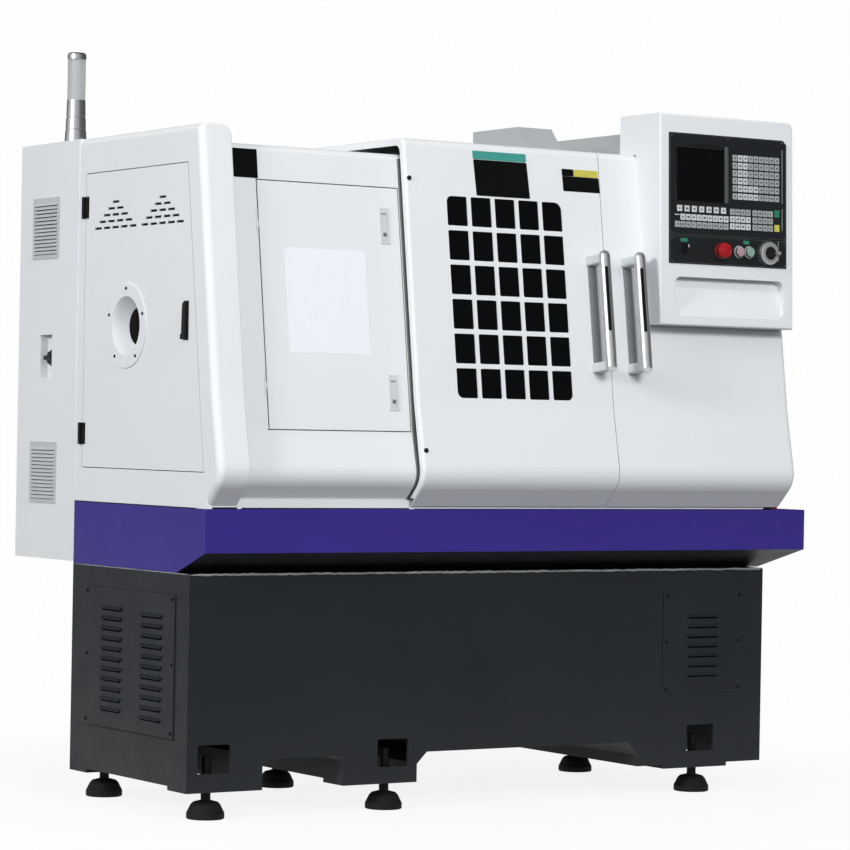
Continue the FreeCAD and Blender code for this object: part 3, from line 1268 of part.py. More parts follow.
def z_supports():
    left = box(600, 640, 150, SPINDLE_Y - BED_HALF + 12, 870, 938)
    right = box(1500, 1545, 125, SPINDLE_Y - BED_HALF + 12, 845, 938)
    cut_left = rod((590, Z_SCREW_Y, Z_SCREW_Z), X_AXIS, 12.56, 60)
    cut_right = rod((1490, Z_SCREW_Y, Z_SCREW_Z), X_AXIS, 10.06, 60)
    return Part.makeCompound([left.cut(cut_left), right.cut(cut_right)])


def servo_motor(length, half):
    """Square-flanged servo motor along +x from x = 0, with its encoder cap."""
    flange = prism_x([(-half, -half, 6), (half, -half, 6), (half, half, 6), (-half, half, 6)], 0, 12)
    inner = half - 6
    body = prism_x([(-inner, -inner, 14), (inner, -inner, 14), (inner, inner, 14), (-inner, inner, 14)], 12, length - 34)
    cap = prism_x([(-inner + 6, -inner + 6, 10), (inner - 6, -inner + 6, 10), (inner - 6, inner - 6, 10), (-inner + 6, inner - 6, 10)], length - 34, length)
    plug = box(length - 70, length - 40, -18, 18, inner - 2, inner + 16)
    return joined([flange, body, cap, plug])


def z_motor():
    motor = servo_motor(158, 58)
    motor.translate(V(1545, Z_SCREW_Y, Z_SCREW_Z))
    return motor.cut(rod((1540, Z_SCREW_Y, Z_SCREW_Z), X_AXIS, 10.3, 10))


X_MOTOR_Y = 612.0


def x_motor():
    motor = servo_motor(142, 50)
    motor.rotate(V(0, 0, 0), Z_AXIS, 90)
    motor.translate(V(CARRIAGE_X, X_MOTOR_Y, X_SCREW_Z))
    return motor.cut(rod((CARRIAGE_X, X_MOTOR_Y - 1, X_SCREW_Z), Y_AXIS, 8.3, 12))


def x_bracket():
    plate = box(CARRIAGE_X - 55, CARRIAGE_X + 55, 590, X_MOTOR_Y, X_SCREW_Z - 55, X_SCREW_Z + 45)
    return plate.cut(rod((CARRIAGE_X, 580, X_SCREW_Z), Y_AXIS, 8.06, 60))


def x_screw():
    return rod((CARRIAGE_X, 170, X_SCREW_Z), Y_AXIS, 8, X_MOTOR_Y + 8 - 170)


def cross_slide():
    """Slide along y on the saddle, with the nut block hanging in the saddle's groove."""
    x0, x1 = CARRIAGE_X - 88, CARRIAGE_X + 88
    z0 = 1034.0 + SLIDE_GAP
    plate = box(x0, x1, 132, 500, z0, 1074)
    nut = box(CARRIAGE_X - 18, CARRIAGE_X + 18, 300, 380, X_SCREW_Z - 14, z0)
    nut = nut.cut(rod((CARRIAGE_X, 290, X_SCREW_Z), Y_AXIS, 8.1, 100))
    cover = box(x0 + 10, x1 - 10, 320, 492, 1074, 1084)
    slots = [box(CARRIAGE_X + s * 50 - 6, CARRIAGE_X + s * 50 + 6, 330, 493, 1078, 1085) for s in (-1, 1)]
    return joined([plate, nut, cover.cut(slots)])


POST_HALF = 75.0
TOOL_REACH = 45.0


def turret_base():
    x, y = CARRIAGE_X, TOOL_POST_Y
    block = prism_z([(x - 82, y - 82, 8), (x + 82, y - 82, 8), (x + 82, y + 82, 8), (x - 82, y + 82, 8)], 1074, 1118)
    post = rod((x, y, 1118), Z_AXIS, 62, 14)
    return joined([block, post]).cut(rod((x, y, 1110), Z_AXIS, 22.06, 40))


def turret_head():
    """Square four-station head with a tool groove along each side and clamp screws."""
    x, y = CARRIAGE_X, TOOL_POST_Y
    h = POST_HALF
    z0, z1 = 1132.0 + SLIDE_GAP, 1232.0
    body = prism_z([(x - h, y - h, 5), (x + h, y - h, 5), (x + h, y + h, 5), (x - h, y + h, 5)], z0, z1)
    stem = rod((x, y, 1112), Z_AXIS, 22, 25)
    low, high = SPINDLE_Z - 21, SPINDLE_Z + 3
    cuts = []
    bolts = []
    for k in range(4):
        groove = box(-h - 1, -h + 26, -h - 1, h + 1, low, high)
        cuts.append(about_post(groove, k * 90))
        for s in (-40, 0, 40):
            bolts.append(about_post(rod((-h + 12, s, z1), Z_AXIS, 6.5, 14), k * 90))
    cap = rod((x, y, z1), Z_AXIS, 42, 20)
    cap = fillet_where(cap, 5, lambda e: abs(edge_mid(e).z - z1 - 20) < 0.01)
    return joined([body.cut(cuts), stem, cap] + bolts)


def about_post(shape, degrees):
    moved = shape.copy()
    moved.rotate(V(0, 0, 0), Z_AXIS, degrees)
    moved.translate(V(CARRIAGE_X, TOOL_POST_Y, 0))
    return moved


def cutting_tools():
    """Square-shank tool in each groove, standing out past the head by TOOL_REACH."""
    tools = []
    h = POST_HALF
    z0 = SPINDLE_Z - 21
    for k in range(4):
        shank = box(-h, -h + 20, -20, h + TOOL_REACH - 8, z0, z0 + 20)
        tip = prism_z([(-h, h + TOOL_REACH - 8), (-h + 20, h + TOOL_REACH - 8), (-h + 3, h + TOOL_REACH)], z0 + 12, z0 + 21)
        tools.append(about_post(joined([shank, tip]), -k * 90))
    return Part.makeCompound(tools)


# ---------------------------------------------------------------- tailstock
QUILL_RADIUS = 30.0
TAIL_LENGTH = 190.0


def tailstock_body():
    x0, x1 = TAIL_X, TAIL_X + TAIL_LENGTH
    y, z = SPINDLE_Y, SPINDLE_Z
    base = box(x0, x1, 262, 568, BED_TOP + SLIDE_GAP, 1030).cut(ridge_grooves(x0 - 1, x1 + 1))
    web = prism_x([(y - 110, 1030), (y - 45, z - 20), (y + 45, z - 20), (y + 110, 1030)], x0 + 10, x1 - 10)
    barrel = rod((x0 - 15, y, z), X_AXIS, 55, TAIL_LENGTH + 20)
    lug = box(x0 + 30, x0 + 70, y - 16, y + 16, z + 45, z + 62)
    body = joined([base, web, barrel, lug])
    bore = rod((x0 - 20, y, z), X_AXIS, QUILL_RADIUS + 0.06, TAIL_LENGTH + 4)
    rear = rod((x0 - 20, y, z), X_AXIS, 12.06, TAIL_LENGTH + 60)
    lock = rod((x0 + 50, y, z + 40), Z_AXIS, 7.06, 40)
    clamp = rod((x1 - 40, 570, 1008), V(0, -1, 0), 9.06, 60)
    return body.cut([bore, rear, lock, clamp])


def quill():
    """Sliding quill with the hardened centre in its nose."""
    x0 = TAIL_X - 70
    body = turned_x([(x0, 13), (x0, 28), (x0 + 3, QUILL_RADIUS), (x0 + 200, QUILL_RADIUS), (x0 + 200, 13)], SPINDLE_Y, SPINDLE_Z)
    return body


def live_centre():
    x0 = TAIL_X - 70
    profile = [(x0 + 60, 0), (x0 + 60, 12.9), (x0, 12.9), (x0, 20), (x0 - 14, 20), (x0 - 18, 15), (x0 - 40, 0)]
    return turned_x(profile, SPINDLE_Y, SPINDLE_Z)


def tail_wheel():
    """Rimmed handwheel with three spokes and a crank handle, on the quill screw."""
    y, z = SPINDLE_Y, SPINDLE_Z
    x0 = TAIL_X + TAIL_LENGTH + 7
    screw = rod((TAIL_X + 120, y, z), X_AXIS, 11.5, x0 + 16 - TAIL_X - 120)
    hub = rod((x0, y, z), X_AXIS, 22, 18)
    rim = ring((x0 + 3, y, z), X_AXIS, 78, 64, 12)
    spokes = []
    for k in range(3):
        spoke = box(x0 + 4, x0 + 13, -7, 7, 15, 68)
        spokes.append(about_spindle(spoke, k * 120))
    grip = rod((x0 + 13, y, z + 70), X_AXIS, 7, 38)
    return joined([hub, rim, screw, grip] + spokes)


def quill_lock():
    x, y, z = TAIL_X + 50, SPINDLE_Y, SPINDLE_Z
    stud = rod((x, y, z + 44), Z_AXIS, 7, 34)
    hub = rod((x, y, z + 62.2), Z_AXIS, 11, 16)
    arm = box(x - 5, x + 5, y - 70, y, z + 66, z + 75)
    knob = Part.makeSphere(11, V(x, y - 74, z + 70.5))
    return joined([stud, hub, arm, knob])


def tail_clamp():
    x, y, z = TAIL_X + TAIL_LENGTH - 40, 568, 1008
    stud = rod((x, y + 14, z), V(0, -1, 0), 9, 60)
    hub = rod((x, y + 0.3, z), Y_AXIS, 14, 16)
    arm = box(x - 6, x + 6, y + 3, y + 13, z, z + 110)
    knob = Part.makeSphere(12, V(x, y + 8, z + 116))
    return joined([stud, hub, arm, knob])


# ---------------------------------------------------------------- coolant
def coolant():
    tank = box(700, 1290, 110, 640, TUNNEL_TOP + BASE_WALL, 330).cut(box(704, 1286, 114, 636, TUNNEL_TOP + BASE_WALL + 4, 331))
    lid = box(700, 1290, 110, 640, 330, 334)
    flange = rod((1200, 375, 334), Z_AXIS, 70, 8)
    body = rod((1200, 375, 342), Z_AXIS, 52, 130)
    cap = rod((1200, 375, 472), Z_AXIS, 44, 20)
    return {"coolant_tank": tank, "coolant_tank_lid": lid, "coolant_pump": joined([flange, body, cap])}


# ---------------------------------------------------------------- all pieces
def group(*shapes):
    """One node holding several separate solids."""
    solids = []
    for shape in shapes:
        solids += shape.Solids
    return Part.makeCompound(solids)


def fixed_pieces(hinges):
    """Everything that stands still, small like pieces fused to what carries them."""
    studs = feet()
    lamp = signal_lamp()
    cooling = coolant()
    switch_base, _ = main_switch()
    motor, _, _ = main_drive()
    return {
        "machine_base": joined([machine_base()] + list(base_plates().values())),
        "levelling_feet": group(*studs.values()),
        "chip_tray": chip_tray(),
        "left_end_cover": left_end_cover(),
        "headstock_cover": headstock_cover(),
        "rear_guard": joined([rear_guard(), x_motor_cover(), bulkhead(), right_end_cover(), top_rail()]),
        "door_sill": group(door_sill(), door_stop()),
        "fixed_hinge_halves": group(switch_base, *hinges),
        "electrical_cabinet": joined([electrical_cabinet()] + cabinet_vents().Solids),
        "electrical_equipment": group(*cabinet_inside()),
        "lamp_housing": group(lamp["lamp_foot"], lamp["lamp_cap"]),
        "lamp_lens": lamp["lamp_lens"],
        "bed": joined([bed()] + z_supports().Solids),
        "headstock": joined([headstock()] + bearing_caps().Solids),
        "main_motor": motor,
        "drive_belt": drive_belt(),
        "z_motor": z_motor(),
        "coolant_unit": group(*cooling.values()),
    }


def spindle_pieces():
    _, rotor, pulley = main_drive()
    big = grooved_pulley(PULLEY_X, PULLEY_WIDTH, SPINDLE_PULLEY_RADIUS, SPINDLE_RADIUS, SPINDLE_Y, SPINDLE_Z)
    return {
        "spindle": joined([spindle(), big]),
        "motor_pulley": joined([rotor, pulley]),
        "chuck_body": chuck_body(),
        "chuck_jaw_1": chuck_jaw(0),
        "chuck_jaw_2": chuck_jaw(1),
        "chuck_jaw_3": chuck_jaw(2),
    }


def carriage_pieces():
    return {
        "saddle": group(joined([saddle(), z_nut(), x_bracket()]), x_motor()),
        "z_screw": z_screw(),
        "cross_slide": joined([cross_slide(), turret_base()]),
        "x_screw": x_screw(),
        "turret_head": turret_head(),
        "cutting_tools": cutting_tools(),
        "tailstock_body": tailstock_body(),
        "quill": joined([quill(), live_centre()]),
        "tail_wheel": tail_wheel(),
        "quill_lock": quill_lock(),
        "tail_clamp": tail_clamp(),
    }


def left_end_pieces(end_leaves, access_leaves, cabinet_leaves):
    lock_body, lock_lever = end_door_lock()
    low_frame, low_lever = access_latch(ACCESS_LATCH_SPANS[0])
    high_frame, high_lever = access_latch(ACCESS_LATCH_SPANS[1])
    cab_lock_body, cab_lock_knob = cabinet_lock()
    _, switch_knob = main_switch()
    return {
        "end_door": end_door(),
        "spindle_guide": spindle_guide(),
        "end_door_fittings": group(lock_body, end_leaves),
        "end_lock_lever": lock_lever,
        "access_door": joined([access_door()] + access_leaves.Solids),
        "access_latch_frames": group(low_frame, high_frame),
        "lower_latch_lever": low_lever,
        "upper_latch_lever": high_lever,
        "cabinet_door": joined([cabinet_door()] + cabinet_leaves.Solids + cab_lock_body.Solids),
        "cabinet_lock_knob": cab_lock_knob,
        "main_switch_knob": switch_knob,
    }


def front_door_pieces():
    left_shoes = slide_shoes((LEFT_DOOR_START + 60, DOOR_SEAM - 120)).Solids
    right_shoes = slide_shoes((DOOR_SEAM + 60, DOOR_SEAM + 240)).Solids
    controls = panel_controls()
    panel = joined([control_panel(), operator_strip()] + controls.pop("button_bezels").Solids)
    nodes = {
        "left_door": joined([left_door(), roof_hood()] + left_shoes + door_plugs().Solids),
        "window_glass": window_glass(),
        "left_door_handle": door_handle(LEFT_HANDLE_X),
        "right_door": joined([right_door()] + right_shoes),
        "right_door_handle": door_handle(RIGHT_HANDLE_X),
        "control_box": control_box(),
        "control_panel": panel,
        "display": display(),
        "panel_keys": panel_keys(),
    }
    nodes.update(controls)
    return nodes


def all_nodes():
    end_frames, end_leaves = end_door_hinges()
    access_frames, access_leaves = access_hinges()
    cabinet_frames, cabinet_leaves = cabinet_hinges()
    nodes = fixed_pieces([end_frames, access_frames, cabinet_frames])
    nodes.update(spindle_pieces())
    nodes.update(carriage_pieces())
    nodes.update(left_end_pieces(end_leaves, access_leaves, cabinet_leaves))
    nodes.update(front_door_pieces())
    return nodes


def middle_of(nodes):
    total = FreeCAD.BoundBox()
    for shape in nodes.values():
        total.add(shape.optimalBoundingBox(False, False))
    return V(-(total.XMin + total.XMax) / 2, -(total.YMin + total.YMax) / 2, 0)


def main():
    os.makedirs("parts", exist_ok=True)
    nodes = all_nodes()
    shift = middle_of(nodes)
    for name, shape in nodes.items():
        shape.translate(shift)
        shape.exportStep("parts/%s.step" % name)
    return nodes, shift


MODEL, SHIFT = main()
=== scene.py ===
import bmesh
import bpy
import math
import random
from mathutils import Matrix, Vector


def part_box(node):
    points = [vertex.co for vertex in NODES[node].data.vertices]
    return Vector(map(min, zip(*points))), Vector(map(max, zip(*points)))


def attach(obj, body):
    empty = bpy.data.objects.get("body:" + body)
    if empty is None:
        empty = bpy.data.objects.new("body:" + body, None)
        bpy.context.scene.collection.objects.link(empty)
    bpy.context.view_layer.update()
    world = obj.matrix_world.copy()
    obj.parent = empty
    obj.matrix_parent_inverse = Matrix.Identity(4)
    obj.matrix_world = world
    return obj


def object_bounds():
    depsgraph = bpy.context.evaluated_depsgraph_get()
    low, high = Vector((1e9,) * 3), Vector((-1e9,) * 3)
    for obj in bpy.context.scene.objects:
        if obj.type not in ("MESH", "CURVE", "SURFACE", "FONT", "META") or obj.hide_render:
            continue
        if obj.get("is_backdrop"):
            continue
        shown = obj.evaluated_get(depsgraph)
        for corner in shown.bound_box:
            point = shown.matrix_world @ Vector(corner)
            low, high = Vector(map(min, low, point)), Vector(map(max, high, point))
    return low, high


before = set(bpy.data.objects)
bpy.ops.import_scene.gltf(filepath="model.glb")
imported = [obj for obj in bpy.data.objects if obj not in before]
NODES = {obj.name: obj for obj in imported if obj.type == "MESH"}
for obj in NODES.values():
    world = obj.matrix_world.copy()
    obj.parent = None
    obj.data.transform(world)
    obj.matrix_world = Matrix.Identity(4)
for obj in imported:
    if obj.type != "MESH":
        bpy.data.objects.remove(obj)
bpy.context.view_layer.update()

# ------------------------------------------------------------------ places
# Working axes in millimetres: x from the left end, y from the front of the tray, z from the floor.
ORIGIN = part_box("chip_tray")[0]
COVER_TOP = 1660.0
COVER_FRONT = 60.0            # front of the sliding doors at COVER_TOP
COVER_STEP = 28.0             # the fixed covers' front lies this far behind the doors' front
LEAN = 0.1376                 # run of the leaning fronts per unit of height
LEAN_ANGLE = math.atan(LEAN)
BELLY_BEND = 1005.0           # below this the doors' skin follows BELLY_SLOPE
BELLY_SLOPE = 0.2002
SPINDLE_Y = 415.0
SPINDLE_Z = 1183.0
UNDERSIDE_Z = 700.0           # faces of the tray that look down below this height are dark
SWITCH_MIDDLE = 1110.0
TAIL_GRIP_X = 1662.0
WAYS_Z = 949.0
BARREL_LOW_Z = 1100.0
HANDLE_STAND = 56.4           # middle of the handle bar in front of the door's skin
HANDLE_RADIUS = 14.6
HANDLES_X = (1120.5, 1232.0)
BAR_SHIFT = 1.5
LEG_REACH = 42.0              # the handle's grey legs reach this far from the skin
STRIP_THICK = 4.0
STRIP_SPAN = (1120.0, 1362.0)
GROOVE_SPAN = (1190.0, 1370.0)
BUFFER_X = 581.0
BUFFERS_Z = (1560.0, 890.0)
BUFFER_REACH = 7.0
BOX_TOP = 1763.0
BOX_FRONT = -42.0
PANEL_ANGLE = math.atan(16.0 / 543.0)
PANEL_FACE = -3.0             # front of the black panel, measured in ON_PANEL
KEY_FACE = -4.2
PANEL_LEFT = 1314.0
PANEL_RIGHT = 1695.0
BUTTON_Z = 1416.0
BUTTONS_X = (1536.8, 1570.0)
SELECTOR_X = 1360.0
ESTOP_X = 1478.0
COLLAR_REACH = 24.0
DIAL_X = 1633.5
LEFT = (-1, 0, 0)
RIGHT = (1, 0, 0)
FRONT = (0, -1, 0)
UP = (0, 0, 1)

TO_ROW = Matrix.Translation((ORIGIN.x, ORIGIN.y, 0)) @ Matrix.Scale(0.001, 4)


def tipped(angle, top, front):
    """Plane that leans back by angle about a line at height top; y = 0 is its face."""
    back = Matrix.Translation((0, 0, -top))
    turn = Matrix.Rotation(-angle, 4, "X")
    return Matrix.Translation((0, front, top)) @ turn @ back


ON_DOORS = TO_ROW @ tipped(LEAN_ANGLE, COVER_TOP, COVER_FRONT)
ON_COVERS = TO_ROW @ tipped(LEAN_ANGLE, COVER_TOP, COVER_FRONT + COVER_STEP)
ON_PANEL = TO_ROW @ tipped(PANEL_ANGLE, BOX_TOP, BOX_FRONT)


def lean_z(z):
    """Height z measured along the leaning front."""
    return COVER_TOP - (COVER_TOP - z) / math.cos(LEAN_ANGLE)


def door_y(z):
    """Front of the doors' leaning skin at height z."""
    return COVER_FRONT - LEAN * (COVER_TOP - z)


def cover_y(z):
    """Front of the fixed covers' leaning skin at height z."""
    return door_y(z) + COVER_STEP


# ------------------------------------------------------------------ shader nodes
MIX_A, MIX_B, MIX_RESULT = 6, 7, 2    # colour sockets of the mix node


def add(tree, kind, **values):
    """New node with its inputs or properties set."""
    node = tree.nodes.new(kind)
    for key, value in values.items():
        if key in node.inputs:
            node.inputs[key].default_value = value
        else:
            setattr(node, key, value)
    return node


def map_range(tree, source, start, end, first, last, kind="LINEAR"):
    """Map source from start..end to first..last."""
    node = add(tree, "ShaderNodeMapRange", interpolation_type=kind)
    for key, value in (("From Min", start), ("From Max", end), ("To Min", first), ("To Max", last)):
        node.inputs[key].default_value = value
    tree.links.new(source, node.inputs["Value"])
    return node.outputs["Result"]


def combine(tree, operation, first, second):
    node = add(tree, "ShaderNodeMath", operation=operation)
    tree.links.new(first, node.inputs[0])
    tree.links.new(second, node.inputs[1])
    return node.outputs["Value"]


def mix_shaders(tree, factor, first, second):
    node = add(tree, "ShaderNodeMixShader")
    tree.links.new(factor, node.inputs["Fac"])
    tree.links.new(first, node.inputs[1])
    tree.links.new(second, node.inputs[2])
    return node.outputs["Shader"]


def mix_colours(tree, factor, high):
    """Colour mix node towards high; its first colour is set or linked by the caller."""
    node = add(tree, "ShaderNodeMix", data_type="RGBA")
    tree.links.new(factor, node.inputs["Factor"])
    node.inputs[MIX_B].default_value = (*high, 1)
    return node


def coordinates(tree, kind):
    return add(tree, "ShaderNodeTexCoord").outputs[kind]


def height_of(tree, kind):
    split = add(tree, "ShaderNodeSeparateXYZ")
    tree.links.new(coordinates(tree, kind), split.inputs["Vector"])
    return split.outputs["Z"]


def noise(tree, scale, detail, stretch=(1, 1, 1)):
    mapping = add(tree, "ShaderNodeMapping", Scale=stretch)
    tree.links.new(coordinates(tree, "Object"), mapping.inputs["Vector"])
    tex = add(tree, "ShaderNodeTexNoise", Scale=scale, Detail=detail, Roughness=0.55)
    tree.links.new(mapping.outputs["Vector"], tex.inputs["Vector"])
    return tex.outputs["Fac"]


NOISE_LOW, NOISE_HIGH = 0.3, 0.7      # the span that most of the noise falls in


def ramp(tree, source, low, high):
    node = add(tree, "ShaderNodeValToRGB")
    ends = ((NOISE_LOW, low), (NOISE_HIGH, high))
    for element, (place, color) in zip(node.color_ramp.elements, ends):
        element.position = place
        element.color = (*color, 1)
    tree.links.new(source, node.inputs["Fac"])
    return node.outputs["Color"]


def spread(tree, source, low, high):
    return map_range(tree, source, NOISE_LOW, NOISE_HIGH, low, high)


# ------------------------------------------------------------------ materials
def new_material(name):
    mat = bpy.data.materials.new(name)
    mat.use_nodes = True
    tree = mat.node_tree
    return mat, tree, tree.nodes["Principled BSDF"]


def tint(color, amount):
    return tuple(min(1.0, c * amount) for c in color)


def surface(tree, shader, colour, rub, relief, depth, strength):
    """Join a colour, a roughness and the height of a relief to the shader."""
    tree.links.new(colour, shader.inputs["Base Color"])
    tree.links.new(rub, shader.inputs["Roughness"])
    bump = add(tree, "ShaderNodeBump", Strength=strength, Distance=depth)
    tree.links.new(relief, bump.inputs["Height"])
    tree.links.new(bump.outputs["Normal"], shader.inputs["Normal"])


def dusty(tree, source, amount):
    """Dust that settles on the lowest third of a metre."""
    fall = map_range(tree, height_of(tree, "Object"), 0.06, 0.35, amount, 0.0)
    mix = mix_colours(tree, fall, (0.16, 0.16, 0.155))
    tree.links.new(source, mix.inputs[MIX_A])
    return mix.outputs[MIX_RESULT]


def paint(name, color, rough=0.4, peel=0.00012, grain=420.0, mottle=0.03, dust=0.0, gloss=0.5):
    """Sprayed paint: faint mottling and orange peel, with dust near the floor if asked."""
    mat, tree, shader = new_material(name)
    colour = ramp(tree, noise(tree, 3.2, 6.0), tint(color, 1 - mottle), tint(color, 1 + mottle))
    if dust:
        colour = dusty(tree, colour, dust)
    rub = spread(tree, noise(tree, 14.0, 5.0), rough - 0.05, rough + 0.07)
    surface(tree, shader, colour, rub, noise(tree, grain, 2.0), peel, 0.6)
    shader.inputs["Specular IOR Level"].default_value = gloss
    return mat


def metal(name, color, rough=0.3, stretch=(1, 1, 1), grain=260.0, depth=0.00003, cast=False):
    """Machined or drawn metal with fine lines along stretch, or a cast skin."""
    mat, tree, shader = new_material(name)
    shader.inputs["Metallic"].default_value = 0.55 if cast else 1.0
    fine = noise(tree, grain, 5.0, stretch)
    colour = ramp(tree, noise(tree, 9.0, 6.0), tint(color, 0.93), tint(color, 1.05))
    rub = spread(tree, fine, rough - 0.07, rough + 0.12)
    surface(tree, shader, colour, rub, fine, depth, 0.5)
    return mat


def plastic(name, color, rough=0.35, grain=900.0, depth=0.00004, mottle=0.04, gloss=0.4):
    """Moulded plastic or a printed sheet with a fine grain."""
    mat, tree, shader = new_material(name)
    colour = ramp(tree, noise(tree, 25.0, 4.0), tint(color, 1 - mottle), tint(color, 1 + mottle))
    rub = spread(tree, noise(tree, 60.0, 3.0), rough - 0.04, rough + 0.06)
    surface(tree, shader, colour, rub, noise(tree, grain, 2.0), depth, 0.5)
    shader.inputs["Specular IOR Level"].default_value = gloss
    return mat


def rubber(name, color):
    return plastic(name, color, rough=0.7, grain=500.0, depth=0.0001, gloss=0.2)


def clear(name, color, rough, alpha, smear):
    """Clear sheet or lens with faint smears in its gloss."""
    mat, tree, shader = new_material(name)
    rub = spread(tree, noise(tree, 12.0, 5.0), rough, rough + smear)
    tree.links.new(rub, shader.inputs["Roughness"])
    shader.inputs["Base Color"].default_value = (*color, 1)
    shader.inputs["Specular IOR Level"].default_value = 0.2
    shader.inputs["Alpha"].default_value = alpha
    shader.inputs["IOR"].default_value = 1.49
    return mat


def screen_glass(name):
    """Dark display glass, barely mottled."""
    mat, tree, shader = new_material(name)
    colour = ramp(tree, noise(tree, 6.0, 3.0), (0.0015, 0.002, 0.0025), (0.003, 0.0035, 0.0045))
    tree.links.new(colour, shader.inputs["Base Color"])
    rub = spread(tree, noise(tree, 30.0, 3.0), 0.08, 0.16)
    tree.links.new(rub, shader.inputs["Roughness"])
    shader.inputs["Specular IOR Level"].default_value = 0.15
    return mat


WHITE = paint("white_cover_paint", (0.745, 0.765, 0.785), rough=0.5, mottle=0.012, gloss=0.09)
# The white roof housing is darkened to grey here: painted shade where little light reaches it.
ROOF_SHADE_GREY = paint("roof_painted_shade_grey", (0.385, 0.405, 0.415), rough=0.45, gloss=0.3)
BLUE = paint("violet_tray_paint", (0.036, 0.022, 0.225), rough=0.35, mottle=0.05, gloss=0.2)
DARK = paint("dark_base_paint", (0.0145, 0.0172, 0.0212), rough=0.45, peel=0.0003, grain=700.0,
             mottle=0.10, dust=0.05, gloss=0.15)
BLACK_PAINT = paint("satin_black_paint", (0.006, 0.006, 0.007), rough=0.45, mottle=0.1, gloss=0.12)
STOP_PAINT = paint("dark_red_paint", (0.16, 0.012, 0.015), rough=0.45, mottle=0.1, gloss=0.2)
GREY_PAINT = paint("grey_paint", (0.20, 0.21, 0.22), rough=0.45)
MOTOR = paint("motor_paint", (0.02, 0.021, 0.024), rough=0.4, mottle=0.1)
LATCH = paint("latch_grey_paint", (0.60, 0.62, 0.63), rough=0.32)
IRON = metal("cast_iron_skin", (0.30, 0.33, 0.33), rough=0.5, grain=300.0, depth=0.0003, cast=True)
GROUND = metal("ground_steel", (0.56, 0.56, 0.55), rough=0.24, stretch=(1, 12, 12))
TURNED = metal("turned_steel", (0.50, 0.50, 0.49), rough=0.28, stretch=(20, 1, 1))
HARD = metal("hardened_steel", (0.20, 0.20, 0.21), rough=0.32)
BAR = metal("polished_bar", (0.60, 0.61, 0.62), rough=0.36, stretch=(8, 8, 1), depth=0.00001)
SATIN = metal("satin_aluminium", (0.60, 0.61, 0.63), rough=0.34, stretch=(1, 1, 10))
LAMP_METAL = metal("lamp_aluminium", (0.50, 0.51, 0.52), stretch=(1, 1, 14), depth=0.00001)
BRONZE = metal("nut_bronze", (0.55, 0.36, 0.16), rough=0.35)
DIAL = metal("dial_aluminium", (0.42, 0.43, 0.44), rough=0.36, stretch=(12, 12, 1), cast=True)
BRACKET = plastic("handle_grey", (0.56, 0.58, 0.59), rough=0.45)
# The back strip's grey is partly its own colour and partly painted shade cast by the handle bar.
BACK_STRIP_AND_SHADE = plastic("handle_back_painted_shade_grey", (0.24, 0.255, 0.26), rough=0.5)
BLACK = plastic("black_plastic", (0.008, 0.008, 0.009), rough=0.4, gloss=0.25)
PANEL = plastic("panel_black", (0.012, 0.014, 0.016), rough=0.45, mottle=0.08, gloss=0.18)
KEY = plastic("key_pale", (0.56, 0.59, 0.60), rough=0.5)
KEY_MID = plastic("key_middle_grey", (0.34, 0.36, 0.37), rough=0.5)
KEY_DARK = plastic("key_dark", (0.07, 0.08, 0.08), rough=0.5)
KEY_GREEN = plastic("key_green", (0.02, 0.20, 0.12), rough=0.45)
KEY_YELLOW = plastic("key_yellow", (0.55, 0.52, 0.08), rough=0.45)
RED = plastic("stop_red", (0.33, 0.009, 0.013), rough=0.45, gloss=0.2)
RED_DEEP = plastic("collar_red", (0.12, 0.006, 0.008), rough=0.4)
PINK = plastic("button_pale_red", (0.42, 0.30, 0.32))
GREEN = plastic("button_pale_green", (0.24, 0.36, 0.31))
SHEET = plastic("blank_sheet", (0.83, 0.84, 0.90), rough=0.5, mottle=0.01)
PLATE = plastic("blank_plate", (0.004, 0.0045, 0.0045), rough=0.6, gloss=0.05)
PLATE_HEAD = plastic("blank_plate_head", (0.045, 0.30, 0.26), rough=0.4)
UNIT = plastic("drive_housing", (0.10, 0.105, 0.11), rough=0.5)
# Near black: the handle groove's own black, and painted shade in the spindle bore, the key slots
# and the end door's vents.
DEEP = plastic("black_and_painted_shade", (0.006, 0.006, 0.007), rough=0.8, gloss=0.1)
# The cabinet's vent plates are painted grey: painted shade among their slats.
SLAT_SHADE_GREY = plastic("vent_plate_painted_shade_grey", (0.50, 0.52, 0.53), rough=0.5)
# Grey of the sheets behind the cabinet vents, which is painted shade.
BACKING_SHADE_GREY = plastic("vent_backing_painted_shade_grey", (0.42, 0.43, 0.43), rough=0.8, gloss=0.1)
# Light grey caulk on the base's top edges, partly real caulk and partly a painted highlight on
# those edges.
CAULK_AND_HIGHLIGHT = plastic("base_caulk_and_highlight", (0.24, 0.25, 0.25), rough=0.6, grain=160.0, depth=0.0006,
                  mottle=0.25)
RUBBER = rubber("black_rubber", (0.008, 0.008, 0.0085))
# Grey for the gaps beside the left door and round the access door: painted shade.
GAP_SHADE_GREY = rubber("gap_painted_shade_grey", (0.17, 0.185, 0.18))
WINDOW = clear("window_sheet", (0.0015, 0.002, 0.0025), rough=0.05, alpha=0.95, smear=0.03)
LENS = clear("lamp_lens_clear", (0.42, 0.44, 0.45), rough=0.16, alpha=0.62, smear=0.1)
SCREEN = screen_glass("display_glass")


# ------------------------------------------------------------------ materials of the CAD nodes
def door_zone(p, n):
    """0 white skin, 1 roof housing in grey painted shade, 2 rubber buffers."""
    if p.z > COVER_TOP + 0.5:
        return 1
    belly_y = door_y(BELLY_BEND) - BELLY_SLOPE * (BELLY_BEND - p.z)
    for z, y in zip(BUFFERS_Z, (door_y(p.z), belly_y)):
        if math.hypot(p.x - BUFFER_X, p.z - z) < BUFFER_REACH and p.y < y - 0.4:
            return 2
    return 0


